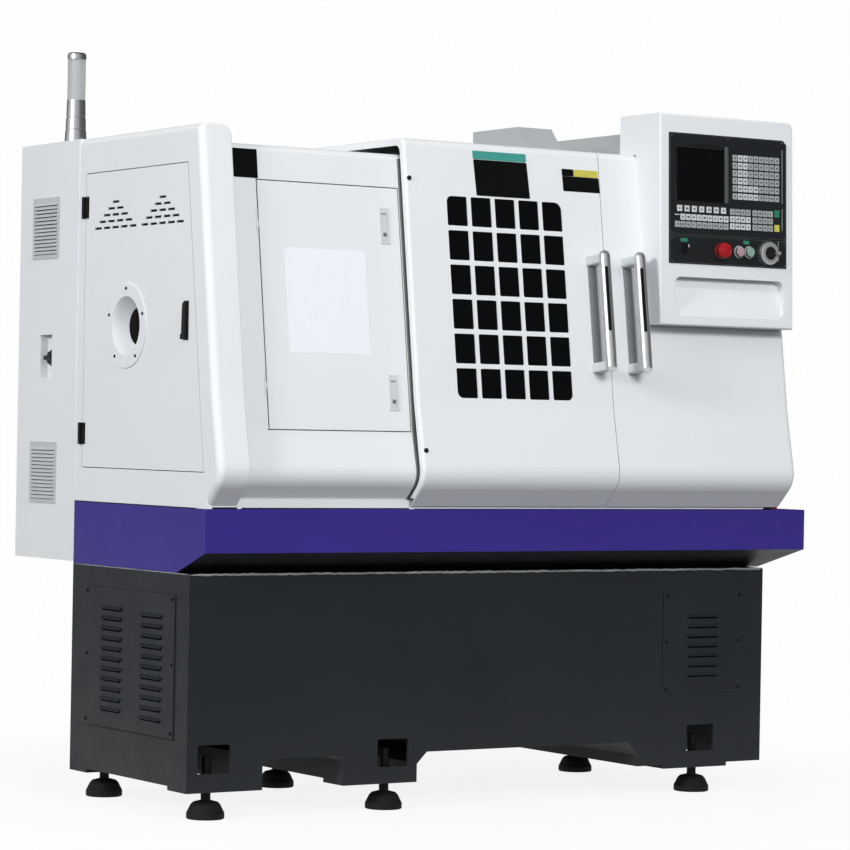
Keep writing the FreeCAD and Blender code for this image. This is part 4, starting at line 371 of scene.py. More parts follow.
def handle_zone(p, n):
    """0 polished bar, 1 grey legs, 2 back strip, its grey partly painted shade of the bar, 3 dark
    groove.
    """
    off = (door_y(p.z) - p.y) * math.cos(LEAN_ANGLE)
    if off < STRIP_THICK:
        return 2 if STRIP_SPAN[0] < p.z < STRIP_SPAN[1] else 1
    if off < LEG_REACH:
        return 1
    if off > HANDLE_STAND + 2.0 and GROOVE_SPAN[0] < p.z < GROOVE_SPAN[1]:
        side = min((p.x - x - BAR_SHIFT for x in HANDLES_X), key=abs)
        return 3 if math.hypot(side, off - HANDLE_STAND) < HANDLE_RADIUS - 0.5 else 0
    return 0


CROSS_MOTOR_Y = 611.0
NUT_Y, NUT_Z = 185.0, 905.0
NUT_REACH = 33.0
NUT_END_X = 1035.0


def saddle_zone(p, n):
    """0 casting, 1 ground top and ways, 2 cross motor, 3 bronze nut."""
    if p.y > CROSS_MOTOR_Y:
        return 2
    near = abs(p.y - NUT_Y) < NUT_REACH and abs(p.z - NUT_Z) < NUT_REACH
    if near and p.x < NUT_END_X:
        return 3
    return 1 if abs(n.z) > 0.9 else 0


def panel_zone(p, n):
    """0 black plate, 1 collar of the emergency stop, 2 bezels."""
    out = PANEL_FACE - 0.3 - (p.y - BOX_FRONT) - (BOX_TOP - p.z) * math.tan(PANEL_ANGLE)
    if out < 0.0:
        return 0
    return 1 if abs(p.x - ESTOP_X) < COLLAR_REACH else 2


PAD_BOTTOM = 1540.0           # the big pad of keys lies above this height
COLOURED_X = 1654.0           # the green and the yellow key lie right of this, below the pad


def key_zone(p, n):
    """0 pale keys, 1 greyer keys, 2 green, 3 yellow; the limits run between groups of keys."""
    if p.x > COLOURED_X and p.z < PAD_BOTTOM:
        return 2 if p.z > 1500.0 else 3
    if p.z > PAD_BOTTOM:
        low_row = 1534.0 < p.x < 1604.0 and p.z < 1590.0
        return 0 if low_row or 1534.0 < p.x < 1569.0 else 1
    if p.x > 1582.0:
        return 1
    if p.x > 1508.0:
        return 1 if p.z > 1510.0 else 0
    return 0 if p.z > 1489.0 else 1


def hinge_zone(p, n):
    """1 is the white hinges beside the access door."""
    return 100.0 < p.x < 200.0 and p.y < 200.0


def cabinet_zone(p, n):
    """1 is the vent plates above and below the switch, painted grey as the shade among their slats.
    """
    return p.x < -0.5 and abs(p.z - SWITCH_MIDDLE) > 160.0


def tray_zone(p, n):
    """1 is the dark underside."""
    return n.z < -0.2 and p.z < UNDERSIDE_Z


def bed_zone(p, n):
    """1 is the ground ways."""
    return p.z > WAYS_Z and abs(n.x) < 0.5


def tail_zone(p, n):
    """1 is the ground ends of the barrel."""
    return abs(n.x) > 0.9 and p.z > BARREL_LOW_Z


def above(height):
    return lambda p, n: p.z > height


def right_of(x):
    return lambda p, n: p.x > x


def in_front_of(y):
    return lambda p, n: p.y < y


SILL_STOP_X = 1686.0
FOOT_PAD_TOP = 44.5
UNITS_Y = 704.0               # the mounting plate lies in front of this, the drive units behind
TANK_TOP = 341.0
TURRET_TOP = 1231.0

ONE_MATERIAL = (
    (WHITE, "left_end_cover headstock_cover rear_guard end_door spindle_guide access_door"),
    (WHITE, "cabinet_door control_box"),
    (BLACK_PAINT, "quill_lock tail_clamp end_door_fittings cabinet_lock_knob"),
    (BLACK, "end_lock_lever main_switch_knob mode_selector"),
    (LATCH, "access_latch_frames lower_latch_lever upper_latch_lever"),
    (DARK, "machine_base"), (LAMP_METAL, "lamp_housing"), (LENS, "lamp_lens"),
    (IRON, "headstock cross_slide"), (MOTOR, "main_motor z_motor"), (RUBBER, "drive_belt"),
    (TURNED, "spindle motor_pulley chuck_body z_screw x_screw quill"),
    (HARD, "chuck_jaw_1 chuck_jaw_2 chuck_jaw_3 cutting_tools"),
    (WINDOW, "window_glass"), (SCREEN, "display"), (RED, "emergency_stop"),
    (PINK, "stop_button"), (GREEN, "start_button"), (DIAL, "hand_dial"),
)
BY_ZONE = {
    "left_door": ([WHITE, ROOF_SHADE_GREY, RUBBER], door_zone),
    # Above the doors' tops the right door takes the same grey painted shade.
    "right_door": ([WHITE, ROOF_SHADE_GREY], above(COVER_TOP + 0.5)),
    "left_door_handle": ([BAR, BRACKET, BACK_STRIP_AND_SHADE, DEEP], handle_zone),
    "right_door_handle": ([BAR, BRACKET, BACK_STRIP_AND_SHADE, DEEP], handle_zone),
    "door_sill": ([WHITE, BLACK_PAINT], right_of(SILL_STOP_X)),
    "fixed_hinge_halves": ([BLACK_PAINT, WHITE], hinge_zone),
    "chip_tray": ([BLUE, DARK], tray_zone),
    "levelling_feet": ([RUBBER, BLACK_PAINT], above(FOOT_PAD_TOP)),
    "electrical_cabinet": ([WHITE, SLAT_SHADE_GREY], cabinet_zone),
    "electrical_equipment": ([UNIT, SATIN], in_front_of(UNITS_Y)),
    "coolant_unit": ([GREY_PAINT, MOTOR], above(TANK_TOP)),
    "bed": ([IRON, GROUND], bed_zone),
    "saddle": ([IRON, GROUND, MOTOR, BRONZE], saddle_zone),
    "turret_head": ([GROUND, BLACK_PAINT], above(TURRET_TOP)),
    "tailstock_body": ([IRON, GROUND], tail_zone),
    "tail_wheel": ([GROUND, BLACK], right_of(TAIL_GRIP_X)),
    "control_panel": ([PANEL, RED_DEEP, BLACK], panel_zone),
    "panel_keys": ([KEY, KEY_MID, KEY_GREEN, KEY_YELLOW], key_zone),
}


def to_mm(point):
    return Vector(((point.x - ORIGIN.x) * 1000, (point.y - ORIGIN.y) * 1000, point.z * 1000))


def dress(node, mats, choose):
    """Give a CAD node its materials; choose(middle in millimetres, normal) picks one by face."""
    data = NODES[node].data
    data.materials.clear()
    for mat in mats:
        data.materials.append(mat)
    for face in data.polygons:
        face.material_index = int(choose(to_mm(face.center), face.normal))


for one, names in ONE_MATERIAL:
    for node_name in names.split():
        dress(node_name, [one], lambda p, n: 0)
for node_name, (several, zone) in BY_ZONE.items():
    dress(node_name, several, zone)


def soften(node, width):
    """Small rounding on the sharp edges of a sheet metal part."""
    weld = NODES[node].modifiers.new("weld", "WELD")
    weld.merge_threshold = 0.00002
    bevel = NODES[node].modifiers.new("edge", "BEVEL")
    bevel.width = width / 1000
    bevel.segments = 2
    bevel.limit_method = "ANGLE"
    bevel.angle_limit = math.radians(35.0)
    bevel.harden_normals = True
    bevel.use_clamp_overlap = True


SHEET_METAL = "chip_tray control_box electrical_cabinet end_door access_door cabinet_door"
for node_name in SHEET_METAL.split():
    soften(node_name, 1.1)


# ------------------------------------------------------------------ mesh helpers
def connected(verts):
    """All corners joined to these by edges."""
    seen = set(verts)
    todo = list(verts)
    while todo:
        v = todo.pop()
        for e in v.link_edges:
            other = e.other_vert(v)
            if other not in seen:
                seen.add(other)
                todo.append(other)
    return list(seen)


class Pile:
    """Small pieces of one material on one body, gathered in one mesh."""

    def __init__(self, name, mat, body, slot):
        self.name, self.mat, self.body, self.slot = name, mat, body, slot
        self.mesh = bmesh.new()

    def block(self, box, place=TO_ROW, edge=0.0):
        """Block through (x0, x1, y0, y1, z0, z1), with its edges rounded by edge."""
        x0, x1, y0, y1, z0, z1 = box
        size = Matrix.Diagonal((x1 - x0, y1 - y0, z1 - z0, 1))
        middle = Matrix.Translation(((x0 + x1) / 2, (y0 + y1) / 2, (z0 + z1) / 2))
        verts = bmesh.ops.create_cube(self.mesh, size=1.0, matrix=middle @ size)["verts"]
        if edge:
            edges = list({e for v in verts for e in v.link_edges})
            out = bmesh.ops.bevel(self.mesh, geom=edges, offset=edge, segments=2, affect="EDGES",
                                  profile=0.5)
            kept = {v for v in verts if v.is_valid}
            verts = connected({v for f in out["faces"] for v in f.verts} | kept)
        bmesh.ops.transform(self.mesh, matrix=place, verts=verts)

    def lathe(self, profile, centre, axis, place=TO_ROW, steps=32):
        """Turn (height, radius) points about axis, from centre."""
        turn = Vector(UP).rotation_difference(Vector(axis)).to_matrix().to_4x4()
        move = place @ Matrix.Translation(centre) @ turn
        rings = []
        for height, radius in profile:
            count = steps if radius > 1e-6 else 1
            ring = []
            for k in range(count):
                a = 2 * math.pi * k / steps
                point = Vector((radius * math.cos(a), radius * math.sin(a), height))
                ring.append(self.mesh.verts.new(move @ point))
            rings.append(ring)
        for low, high in zip(rings, rings[1:]):
            for k in range(steps):
                j = (k + 1) % steps
                if len(low) == 1:
                    self.mesh.faces.new((low[0], high[k], high[j]))
                elif len(high) == 1:
                    self.mesh.faces.new((low[k], low[j], high[0]))
                else:
                    self.mesh.faces.new((low[k], low[j], high[j], high[k]))

    def sheet(self, outline, thick, place):
        """Thin plate through (x, z) points on the plane y = 0, standing out by thick."""
        front = [self.mesh.verts.new(place @ Vector((x, -thick, z))) for x, z in outline]
        back = [self.mesh.verts.new(place @ Vector((x, 0.0, z))) for x, z in outline]
        self.mesh.faces.new(front)
        for k in range(len(outline)):
            j = (k + 1) % len(outline)
            self.mesh.faces.new((back[k], back[j], front[j], front[k]))

    def tube(self, rings):
        """Closed tube through rings that have as many points each."""
        made = [[self.mesh.verts.new(TO_ROW @ Vector(p)) for p in ring] for ring in rings]
        count = len(made[0])
        for low, high in zip(made, made[1:]):
            for j in range(count):
                i = (j + 1) % count
                self.mesh.faces.new((low[j], low[i], high[i], high[j]))
        self.mesh.faces.new(made[0][::-1])
        self.mesh.faces.new(made[-1])

    def done(self, smooth=35.0):
        """Make the object, smooth up to this angle, and let it ride on its body."""
        bmesh.ops.recalc_face_normals(self.mesh, faces=self.mesh.faces)
        data = bpy.data.meshes.new(self.name)
        self.mesh.to_mesh(data)
        self.mesh.free()
        obj = bpy.data.objects.new(self.name, data)
        bpy.context.scene.collection.objects.link(obj)
        data.materials.append(self.mat)
        data.shade_smooth()
        data.set_sharp_from_angle(angle=math.radians(smooth))
        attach(obj, self.body)


def blocks(name, mat, body, slot, boxes, place=TO_ROW, edge=0.0):
    pile = Pile(name, mat, body, slot)
    for box in boxes:
        pile.block(box, place, edge)
    pile.done()


def turned(name, mat, body, slot, profile, centres, axis, place=TO_ROW, steps=32):
    pile = Pile(name, mat, body, slot)
    for centre in centres:
        pile.lathe(profile, centre, axis, place, steps)
    pile.done()


def sheets(name, mat, body, slot, outlines, thick, place):
    pile = Pile(name, mat, body, slot)
    for outline in outlines:
        pile.sheet(outline, thick, place)
    pile.done()


def screws(name, mat, body, places, radius, place=TO_ROW):
    """Pan heads with a socket, at (centre, axis) places."""
    pile = Pile(name, mat, body, "black_steel")
    h = radius * 0.62
    profile = [(0, radius), (h * 0.5, radius), (h * 0.85, radius * 0.86), (h, radius * 0.6)]
    profile += [(h, radius * 0.36), (h * 0.35, radius * 0.34), (h * 0.35, 0)]
    for centre, axis in places:
        pile.lathe(profile, centre, axis, place, 18)
    pile.done()


def rounded(x0, x1, z0, z1, radius):
    """Points of a rounded rectangle in the x-z plane."""
    points = []
    corners = ((x1 - radius, z1 - radius, 0), (x0 + radius, z1 - radius, 90))
    corners += ((x0 + radius, z0 + radius, 180), (x1 - radius, z0 + radius, 270))
    for cx, cz, start in corners:
        for k in range(7):
            a = math.radians(start + 90 * k / 6)
            points.append((cx + radius * math.cos(a), cz + radius * math.sin(a)))
    return points


def on_lean(x0, x1, z0, z1, radius):
    """Rounded rectangle on a leaning front, with its heights measured from the floor."""
    return rounded(x0, x1, lean_z(z0), lean_z(z1), radius)


def askew(points, z_top, run):
    """Points of a plate that hangs a little askew: each moves right by run times its drop."""
    return [(x + run * (lean_z(z_top) - z), z) for x, z in points]


def lean_box(x0, x1, y0, y1, z0, z1):
    """Block on a leaning front, with its heights measured from the floor."""
    return x0, x1, y0, y1, lean_z(z0), lean_z(z1)


def raised(x0, x1, z0, z1, out):
    """Block that stands out from the face of the control panel."""
    return x0, x1, PANEL_FACE - out, PANEL_FACE, z0, z1


def bent(points):
    """Line through (y, z, radius) points with its corners rounded."""
    line = []
    for k, (y, z, radius) in enumerate(points):
        here = Vector((y, z))
        if not radius:
            line.append(here)
            continue
        back = (Vector(points[k - 1][:2]) - here).normalized()
        ahead = (Vector(points[k + 1][:2]) - here).normalized()
        half = back.angle(ahead) / 2
        reach = radius / math.tan(half)
        middle = here + (back + ahead).normalized() * (radius / math.sin(half))
        first = here + back * reach - middle
        turn = first.angle_signed(here + ahead * reach - middle)
        for j in range(9):
            line.append(middle + Matrix.Rotation(-turn * j / 8, 2) @ first)
    return [tuple(point) for point in line]


def band(line, x0, x1, proud, sunk):
    """Rings of a flat band along a front line of (y, z) points."""
    rings = []
    for k, (y, z) in enumerate(line):
        y0, z0 = line[max(k - 1, 0)]
        y1, z1 = line[min(k + 1, len(line) - 1)]
        along = Vector((y1 - y0, z1 - z0)).normalized()
        out = Vector((along.y, -along.x))
        if out.x > 0:
            out = -out
        corners = ((x0, proud), (x1, proud), (x1, -sunk), (x0, -sunk))
        rings.append([(x, y + out.x * off, z + out.y * off) for x, off in corners])
    return rings


def bead(start, end, radius, seed):
    """Rings of an uneven caulk bead with a soft round section."""
    chance = random.Random(seed)
    start, end = Vector(start), Vector(end)
    run = end - start
    steps = int(run.length / 9.0)
    across = run.normalized().cross(Vector(UP))
    rings = []
    size = radius
    for k in range(steps + 1):
        size = 0.7 * size + 0.3 * radius * chance.uniform(0.5, 1.6)
        drift = chance.uniform(-0.35, 0.35) * radius
        middle = start + run * (k / steps) + Vector((0, 0, drift))
        taper = min(1.0, 0.25 + min(k, steps - k) * 0.4)
        ring = []
        for j in range(8):
            a = 2 * math.pi * j / 8
            offset = across * math.cos(a) + Vector(UP) * math.sin(a)
            ring.append(middle + offset * size * taper)
        rings.append(ring)
    return rings


# ------------------------------------------------------------------ screws and spindle bore
low_row = [((-2, y, z), LEFT) for y in (152, 594) for z in (202, 366, 523)]
front_rows = [((x, 70, z), FRONT) for x in (1422, 1661) for z in (274, 396, 518)]
screws("base_screws", BLACK_PAINT, "frame", low_row + front_rows, 4.5)

circle = []
for k in range(5):
    a = math.radians(90 + 72 * k)
    circle.append(((-3, SPINDLE_Y + 92 * math.cos(a), SPINDLE_Z + 92 * math.sin(a)), LEFT))
screws("guide_screws", BLACK_PAINT, "end_panel", circle, 4.0)
turned("guide_bore_shadow", DEEP, "frame", "black_steel", [(0, 25.5), (6, 25.5), (6, 0)],
       [(112, SPINDLE_Y, SPINDLE_Z)], RIGHT)

hinge_holes = [((-3, 634, z + dz), LEFT) for z in (889.0, 1457.0) for dz in (8, 46)]
screws("hinge_screws", BLACK_PAINT, "end_panel", hinge_holes, 2.6)

# ------------------------------------------------------------------ bare plates and sheets
PLATE_THICK = 0.8
small_top = 1610
fields = (
    askew(on_lean(774, 936, 1527, 1618, 3), 1640, 0.05),
    askew(on_lean(1045, 1159, 1553, 1591.5, 2), small_top, 0.04),
    askew(on_lean(1045, 1081, 1592, small_top, 2), small_top, 0.04),
)
sheets("door_plate_field", PLATE, "left_slider", "black_plastic", fields, PLATE_THICK, ON_DOORS)
sheets("door_plate_head", PLATE_HEAD, "left_slider", "black_plastic",
       [on_lean(774, 936, 1619, 1640, 3)], PLATE_THICK, ON_DOORS)
sheets("small_plate_band", KEY_YELLOW, "left_slider", "black_plastic",
       [on_lean(1082, 1158, 1592, small_top, 2)], PLATE_THICK, ON_DOORS)
sheets("cover_plate", PLATE, "frame", "black_plastic",
       [on_lean(99, 166, 1537, 1607, 2)], PLATE_THICK, ON_COVERS)
sheets("blank_door_sheet", SHEET, "access_panel", "cover_white",
       [on_lean(230, 458, 1121, 1374, 2)], 0.3, ON_COVERS)
blocks("door_stop_pad", STOP_PAINT, "frame", "stop_red",
       [(1711, 1729.5, 3.5, 31, 745.5, 766.2)], edge=1.5)

# ------------------------------------------------------------------ key cylinders of the latches
LATCH_KEY_X = 518.0
LATCH_KEY_SHARE = 0.745       # place of the key cylinder, as a share of the latch down from its top
cylinder = [(0, 5.6), (0.8, 5.6), (1.2, 5.0), (1.2, 3.9), (0.7, 3.7), (0.7, 0)]
for body, low, high in (("lower_paddle", 985.0, 1073.0), ("upper_paddle", 1394.0, 1484.0)):
    at = lean_z(high) - LATCH_KEY_SHARE * (lean_z(high) - lean_z(low))
    turned(body + "_key_cylinder", GREY_PAINT, body, "lamp_metal", cylinder,
           [(LATCH_KEY_X, -2, at)], FRONT, ON_COVERS, 28)
    # A near black slit on each key cylinder: painted shade for the keyhole.
    keyhole_shade = (LATCH_KEY_X - 0.7, LATCH_KEY_X + 0.7, -2.95, -2.6, at - 2.8, at + 2.8)
    blocks(body + "_keyhole_painted_shade", DEEP, body, "black_plastic", [keyhole_shade], ON_COVERS)

# ------------------------------------------------------------------ gasket, caulk, painted shade and painted highlight strips
# Black strips where the covers meet the tray: partly a gasket, partly painted shade along the
# tray's top edge.
tray_gasket_and_shade = (
    (-0.5, 1.5, 46, 679, 743.6, 746.4), (100, 572, 4.6, 6.4, 745, 747.8),
    (586, 1690, 3.4, 6.4, 745, 746.6), (17, 84, -0.6, 1.2, 745, 749),
)
blocks("tray_gasket_and_shade", RUBBER, "frame", "black_plastic", tray_gasket_and_shade)
# Black strips under the louvre plate's bottom and right edges: a painted shadow of the plate.
plate_shadow_edges = ((-1.6, -0.2, 140, 605, 186.5, 190), (-1.6, -0.2, 137, 140, 186.5, 535))
blocks("louvre_plate_painted_shadow", RUBBER, "frame", "black_plastic", plate_shadow_edges, edge=0.4)
# Near black sheets behind the end door's vent slots: painted shade inside the openings.
door_vent_shade = [(3.2, 4.4, y0, y1, 1420, 1500) for y0, y1 in ((352, 600), (128, 348))]
blocks("end_door_vent_painted_shade", DEEP, "end_panel", "black_plastic", door_vent_shade, edge=0.3)

# Near black strips along the top and bottom of each end door vent slot: painted shade that darkens
# the slots.
vent_shade_rims = []
for middle, pitch, length in ((483, 46, 34), (240, 45, 33)):
    for row in range(5):
        for k in range(row + 1):
            y = middle + (k - row / 2) * pitch
            z = 1492 - 15.8 * row
            span = (-0.35, 0.3, y - length / 2 - 0.8, y + length / 2 + 0.8)
            vent_shade_rims += [(*span, z + 2.0, z + 2.9), (*span, z - 2.9, z - 2.0)]
blocks("end_door_vent_painted_shade_rims", DEEP, "end_panel", "black_plastic", vent_shade_rims)

# Grey sheets behind the cabinet's vent openings: painted shade seen through the slots.
cabinet_vent_backing_shade = ((3.2, 4.2, 796, 934, 1368, 1514), (3.2, 4.2, 791, 929, 740, 886))
blocks("cabinet_vent_backing_shade", BACKING_SHADE_GREY, "frame", "black_plastic", cabinet_vent_backing_shade, edge=0.3)
blocks("cover_corner_bead", SHEET, "frame", "cover_white",
       [(-0.9, 0.3, 681, 685, 770, 1650)], edge=0.4)
blocks("access_opening_edge", WHITE, "frame", "cover_white",
       [lean_box(158.6, 160.4, 0.8, 3.0, 936, 1533)], ON_COVERS)

door_front = bent((
    (cover_y(1336.6), 1336.6, 0), (cover_y(925.0), 925.0, 180.0),
    (-39.3, 819.3, 51.0), (12.0, 768.5, 0),
))
# Grey band on the fixed cover beside the left door's left edge: painted shade where the door stands
# proud.
edge_shade = Pile("door_edge_painted_shade", GAP_SHADE_GREY, "frame", "black_plastic")
edge_shade.tube(band([(cover_y(1608.0), 1608.0)] + door_front, 566, 580, 0.9, 0.2))
edge_shade.done()

# Grey strips behind the gap round the access door: painted shade seen through the gap.
lining = [(560, 570, 934, 1535), (165, 560, 930, 938), (165, 560, 1531, 1539)]
lining += [(155, 165, z0, z1) for z0, z1 in ((934, 1010), (1072, 1396), (1462, 1535))]
lining_boxes = [lean_box(x0, x1, 7.0, 9.0, z0, z1) for x0, x1, z0, z1 in lining]
blocks("access_gap_painted_shade", GAP_SHADE_GREY, "frame", "black_plastic", lining_boxes, ON_COVERS)

# Uneven beads along the base's top front and left edges and its front corner: partly caulk, partly
# painted highlight.
caulk_highlight = Pile("base_caulk_and_highlight_bead", CAULK_AND_HIGHLIGHT, "frame", "base_grey")
caulk_highlight.tube(bead((1, 71.3, 585.6), (1738, 71.3, 585.6), 2.6, 4))
caulk_highlight.tube(bead((-0.4, 74, 586.4), (-0.4, 676, 586.4), 1.3, 9))
caulk_highlight.tube(bead((-0.2, 71.6, 584), (-0.2, 71.6, 430), 0.8, 5))
caulk_highlight.done(60.0)

clips = []
for x in (672, 1050):
    for z in (1060, 1270, 1480):
        clips.append((x - 6, x + 6, 3.2, 12, lean_z(z) - 9, lean_z(z) + 9))
blocks("window_clips", BLACK, "left_slider", "black_plastic", clips, ON_DOORS, 1.0)

# ------------------------------------------------------------------ control panel
outlines = []
for z0, z1, notch in ((1381, 1450, 0), (1454, 1713, 12)):
    outlines += [
        raised(PANEL_LEFT, PANEL_LEFT + 0.8, z0, z1, 0.3),
        raised(PANEL_RIGHT - 0.8, PANEL_RIGHT, z0, z1 - notch, 0.3),
        raised(PANEL_LEFT, PANEL_RIGHT, z0, z0 + 0.8, 0.3),
        raised(PANEL_LEFT, PANEL_RIGHT - notch, z1 - 0.8, z1, 0.3),
    ]
blocks("panel_lines", KEY_DARK, "right_slider", "panel_black", outlines, ON_PANEL)
side_lines = ((1682.5, 1549, 1690), (1682.5, 1477, 1535), (1669.5, 1396, 1450))
side_boxes = [raised(x - 0.7, x + 0.7, z0, z1, 0.5) for x, z0, z1 in side_lines]
blocks("panel_side_lines", KEY_MID, "right_slider", "panel_black", side_boxes, ON_PANEL)
bezel = ((1326, 1490, 1678, 1687), (1326, 1490, 1533, 1541), (1326, 1336, 1541, 1678))
blocks("display_bezel", BLACK, "right_slider", "black_plastic",
       [raised(*span, 1.6) for span in bezel], ON_PANEL, 0.8)
blocks("panel_side_bar", KEY_DARK, "right_slider", "panel_black",
       [raised(1491, 1503, 1541, 1687, 1.4)], ON_PANEL, 0.6)

panel_holes = [(x, 1708) for x in (1320, 1502, 1681)]
panel_holes += [(x, z) for z in (1458, 1444, 1386) for x in (1320, 1690)]
panel_places = [((x, PANEL_FACE, z), FRONT) for x, z in panel_holes]
screws("panel_screws", HARD, "right_slider", panel_places, 2.1, ON_PANEL)

# Each block of keys: left, top, columns, rows, steps across and down, width and height of a key.
KEY_BLOCKS = (
    (1517.5, 1668, 9, 5, 17.45, 19.8, 14.6, 16.0), (1517.5, 1568, 9, 1, 17.45, 19.8, 14.6, 15.5),
    (1336.3, 1528.5, 7, 1, 23.8, 20, 16, 15.6), (1347.1, 1506.5, 9, 1, 17.6, 19, 15.2, 15.5),
    (1329.5, 1487.3, 10, 1, 17.6, 19, 15.2, 15.5), (1509, 1527, 4, 3, 17.4, 18.8, 15, 15.2),
    (1583.5, 1527, 4, 3, 17.4, 18.8, 15, 15.2),
)
key_marks = []
for left, top, columns, rows, step_x, step_z, wide, tall in KEY_BLOCKS:
    for i in range(columns):
        for j in range(rows):
            x = left + i * step_x + wide / 2
            z = top - j * step_z - tall / 2
            half = 2.2 + 0.7 * ((i * 5 + j * 3) % 3)
            key_marks.append((x - half, x + half, KEY_FACE - 0.15, KEY_FACE, z - 2.4, z + 2.4))
blocks("key_marks", KEY_DARK, "right_slider", "panel_black", key_marks, ON_PANEL)

labels = (raised(1348, 1371, 1434.5, 1444, 0.4), raised(1553, 1573, 1437, 1446, 0.4))
blocks("panel_labels", KEY_GREEN, "right_slider", "start_green", labels, ON_PANEL, 0.3)
turned("button_rings", KEY_MID, "right_slider", "key_grey",
       [(2.6, 16.3), (4.0, 15.2), (4.0, 13.0), (3.4, 13.0)],
       [(x, PANEL_FACE, BUTTON_Z) for x in BUTTONS_X], FRONT, ON_PANEL, 40)
pointer = (SELECTOR_X - 0.9, SELECTOR_X + 0.9, -22.4, -21.9, BUTTON_Z + 3, BUTTON_Z + 11)
blocks("selector_line", SHEET, "mode_knob", "key_grey", [pointer], ON_PANEL, 0.2)
turned("dial_face", BLACK, "pulse_dial", "black_plastic",
       [(14.0, 17.6), (14.8, 17.0), (15.2, 13), (14.6, 0)],
       [(DIAL_X, PANEL_FACE, BUTTON_Z)], FRONT, ON_PANEL, 40)


def tick(k, count):
    """Outline of one tick round the hand dial; each fifth one is longer."""
    a = 2 * math.pi * k / count
    inner, outer, half = 31.0, 33.0 if k % 5 else 34.5, 0.25
    points = []
    for r, side in ((inner, half), (outer, half), (outer, -half), (inner, -half)):
        x = DIAL_X + r * math.cos(a) - side * math.sin(a)
        points.append((x, BUTTON_Z + r * math.sin(a) + side * math.cos(a)))
    return points


sheets("dial_ticks", KEY_MID, "right_slider", "key_grey", [tick(k, 50) for k in range(50)], 0.2,
       ON_PANEL @ Matrix.Translation((0, PANEL_FACE, 0)))

# ------------------------------------------------------------------ lamp
turned("lamp_core", SHEET, "frame", "lamp_metal",
       [(1769, 0), (1769, 13), (1872, 13), (1872, 0)], [(38, 785, 0)], UP)

# ------------------------------------------------------------------ floor
BACK = (0.985, 0.99, 0.98)
FLOOR_RADIUS = 16.0
SHADOW_NEAR, SHADOW_FAR = 0.6, 2.0    # the floor's shadow fades between these distances

floor_mesh = bpy.data.meshes.new("floor")
disc = bmesh.new()
bmesh.ops.create_circle(disc, cap_ends=True, segments=96, radius=FLOOR_RADIUS)
disc.to_mesh(floor_mesh)
disc.free()
floor = bpy.data.objects.new("floor", floor_mesh)
bpy.context.scene.collection.objects.link(floor)
floor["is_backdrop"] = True

floor_mat = bpy.data.materials.new("pale_floor")
floor_mat.use_nodes = True
floor_mesh.materials.append(floor_mat)
tree = floor_mat.node_tree
tree.nodes.clear()
rays = add(tree, "ShaderNodeLightPath").outputs
seen = combine(tree, "MAXIMUM", rays["Is Camera Ray"], rays["Is Glossy Ray"])
seen = combine(tree, "MAXIMUM", seen, rays["Is Transmission Ray"])
bounce = mix_colours(tree, seen, (0.93, 0.935, 0.93))
bounce.inputs[MIX_A].default_value = (0.05, 0.052, 0.055, 1)
diffuse = add(tree, "ShaderNodeBsdfDiffuse")
tree.links.new(bounce.outputs[MIX_RESULT], diffuse.inputs["Color"])
glow = add(tree, "ShaderNodeEmission", Color=(*BACK, 1))
distance = add(tree, "ShaderNodeVectorMath", operation="LENGTH")
tree.links.new(coordinates(tree, "Object"), distance.inputs[0])
fade = map_range(tree, distance.outputs["Value"], SHADOW_NEAR, SHADOW_FAR, 0.88, 1.0, "SMOOTHSTEP")
factor = combine(tree, "MULTIPLY", seen, fade)
top = mix_shaders(tree, factor, diffuse.outputs["BSDF"], glow.outputs["Emission"])
tree.links.new(top, add(tree, "ShaderNodeOutputMaterial").inputs["Surface"])

# ------------------------------------------------------------------ world
world = bpy.data.worlds.new("studio")
bpy.context.scene.world = world
world.use_nodes = True
tree = world.node_tree
tree.nodes.clear()


def graded(direction, low, high, start, end):
    """Strength that grows from low to high with how near a ray points along direction."""
    along = add(tree, "ShaderNodeVectorMath", operation="DOT_PRODUCT")
    along.inputs[1].default_value = Vector(direction).normalized()
    tree.links.new(coordinates(tree, "Generated"), along.inputs[0])
    return map_range(tree, along.outputs["Value"], start, end, low, high, "SMOOTHSTEP")


def ringed(source, low, high):
    """Keep a strength in a band above the horizon: high of it overhead, low of it below."""
    height = height_of(tree, "Generated")
    rise = map_range(tree, height, -0.06, 0.10, low, 1.0, "SMOOTHSTEP")
    fall = map_range(tree, height, 0.35, 0.95, 1.0, high, "SMOOTHSTEP")
    return combine(tree, "MULTIPLY", combine(tree, "MULTIPLY", source, rise), fall)


def background(color, strength=None):
    """Background shader with a fixed strength, or one that follows a socket."""
    node = add(tree, "ShaderNodeBackground", Color=(*color, 1))
    if strength is not None:
        tree.links.new(strength, node.inputs["Strength"])
    return node.outputs["Background"]


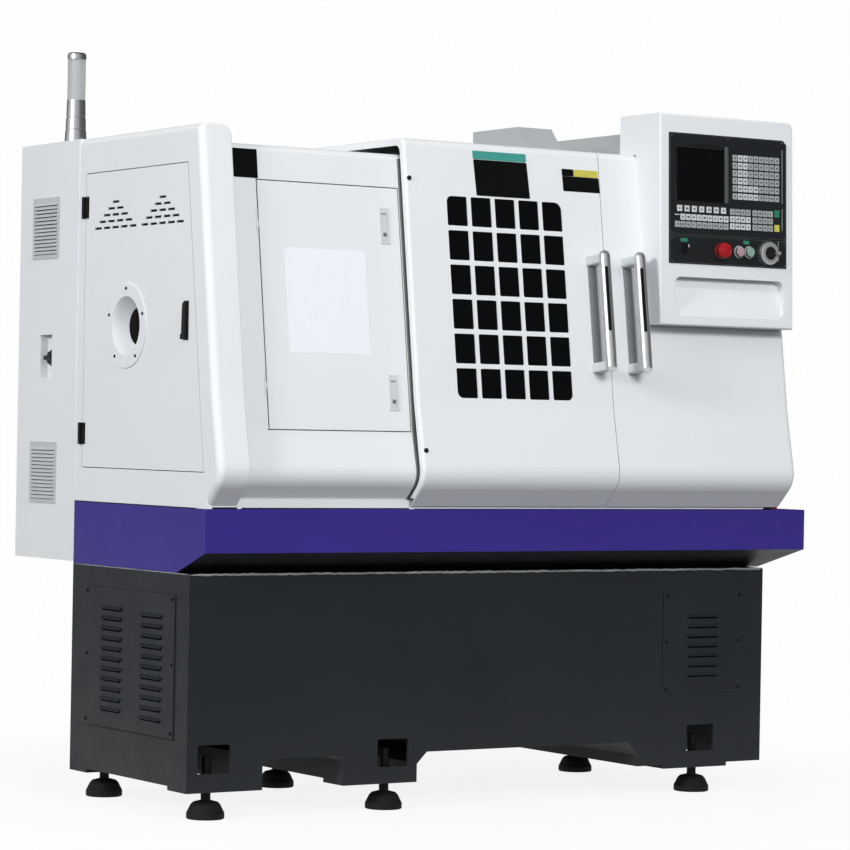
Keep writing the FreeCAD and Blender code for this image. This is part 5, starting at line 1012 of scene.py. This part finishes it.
SKY = (0.97, 0.985, 1.0)
broad = graded((-0.75, -0.65, 0.0), 0.45, 0.92, -0.85, 0.15)
ambient = background(SKY, ringed(broad, 0.03, 0.2))
sharp = graded((-0.9, -0.4, 0.1), 0.13, 0.95, -0.25, 0.8)
shine = background(SKY, ringed(sharp, 0.15, 0.5))
backdrop = background(BACK)
rays = add(tree, "ShaderNodeLightPath").outputs
seen = combine(tree, "MAXIMUM", rays["Is Camera Ray"], rays["Is Transmission Ray"])
lighting = mix_shaders(tree, rays["Is Glossy Ray"], ambient, shine)
sky = mix_shaders(tree, seen, lighting, backdrop)
tree.links.new(sky, add(tree, "ShaderNodeOutputWorld").inputs["Surface"])


# ------------------------------------------------------------------ lamps
def area_light(name, place, target, size, energy):
    data = bpy.data.lights.new(name, "AREA")
    data.shape = "RECTANGLE"
    data.size, data.size_y = size
    data.energy = energy
    obj = bpy.data.objects.new(name, data)
    obj.location = place
    aim = Vector(target) - Vector(place)
    obj.rotation_euler = aim.to_track_quat("-Z", "Y").to_euler()
    bpy.context.scene.collection.objects.link(obj)
    return obj


area_light("left", (-7.7, -1.9, 3.5), (0, 0, 1.1), (1.3, 1.4), 325.0)
front = area_light("front", (-0.9, -7.6, 4.1), (-0.2, 0, 1.1), (2.8, 1.4), 335.0)
front.visible_glossy = False          # it would leave a bright spot on the display

# ------------------------------------------------------------------ camera
PICTURE_PX = 850.0
FOCAL_PX = 3244.98
SENSOR = 36.0
AZIMUTH = math.radians(-33.07)
PITCH = math.radians(0.029)
ROLL = math.radians(1.032)
EYE = TO_ROW @ Vector((-3738.0, -6679.0, 948.0))
level = Vector((-math.sin(AZIMUTH), math.cos(AZIMUTH), 0))
forward = level * math.cos(PITCH) + Vector(UP) * math.sin(PITCH)
right = Vector((math.cos(AZIMUTH), math.sin(AZIMUTH), 0))
upward = right.cross(forward)
rolled_right = math.cos(ROLL) * right + math.sin(ROLL) * upward
rolled_up = -math.sin(ROLL) * right + math.cos(ROLL) * upward
camera_data = bpy.data.cameras.new("camera")
camera_data.sensor_width = SENSOR
camera_data.lens = FOCAL_PX / PICTURE_PX * SENSOR
camera_data.clip_end = 60.0
camera = bpy.data.objects.new("camera", camera_data)
turn = Matrix((rolled_right, rolled_up, -forward)).transposed().to_4x4()
camera.matrix_world = Matrix.Translation(EYE) @ turn
bpy.context.scene.collection.objects.link(camera)
bpy.context.scene.camera = camera
bpy.context.scene.view_settings.view_transform = "Standard"

bpy.context.view_layer.update()
low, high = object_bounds()
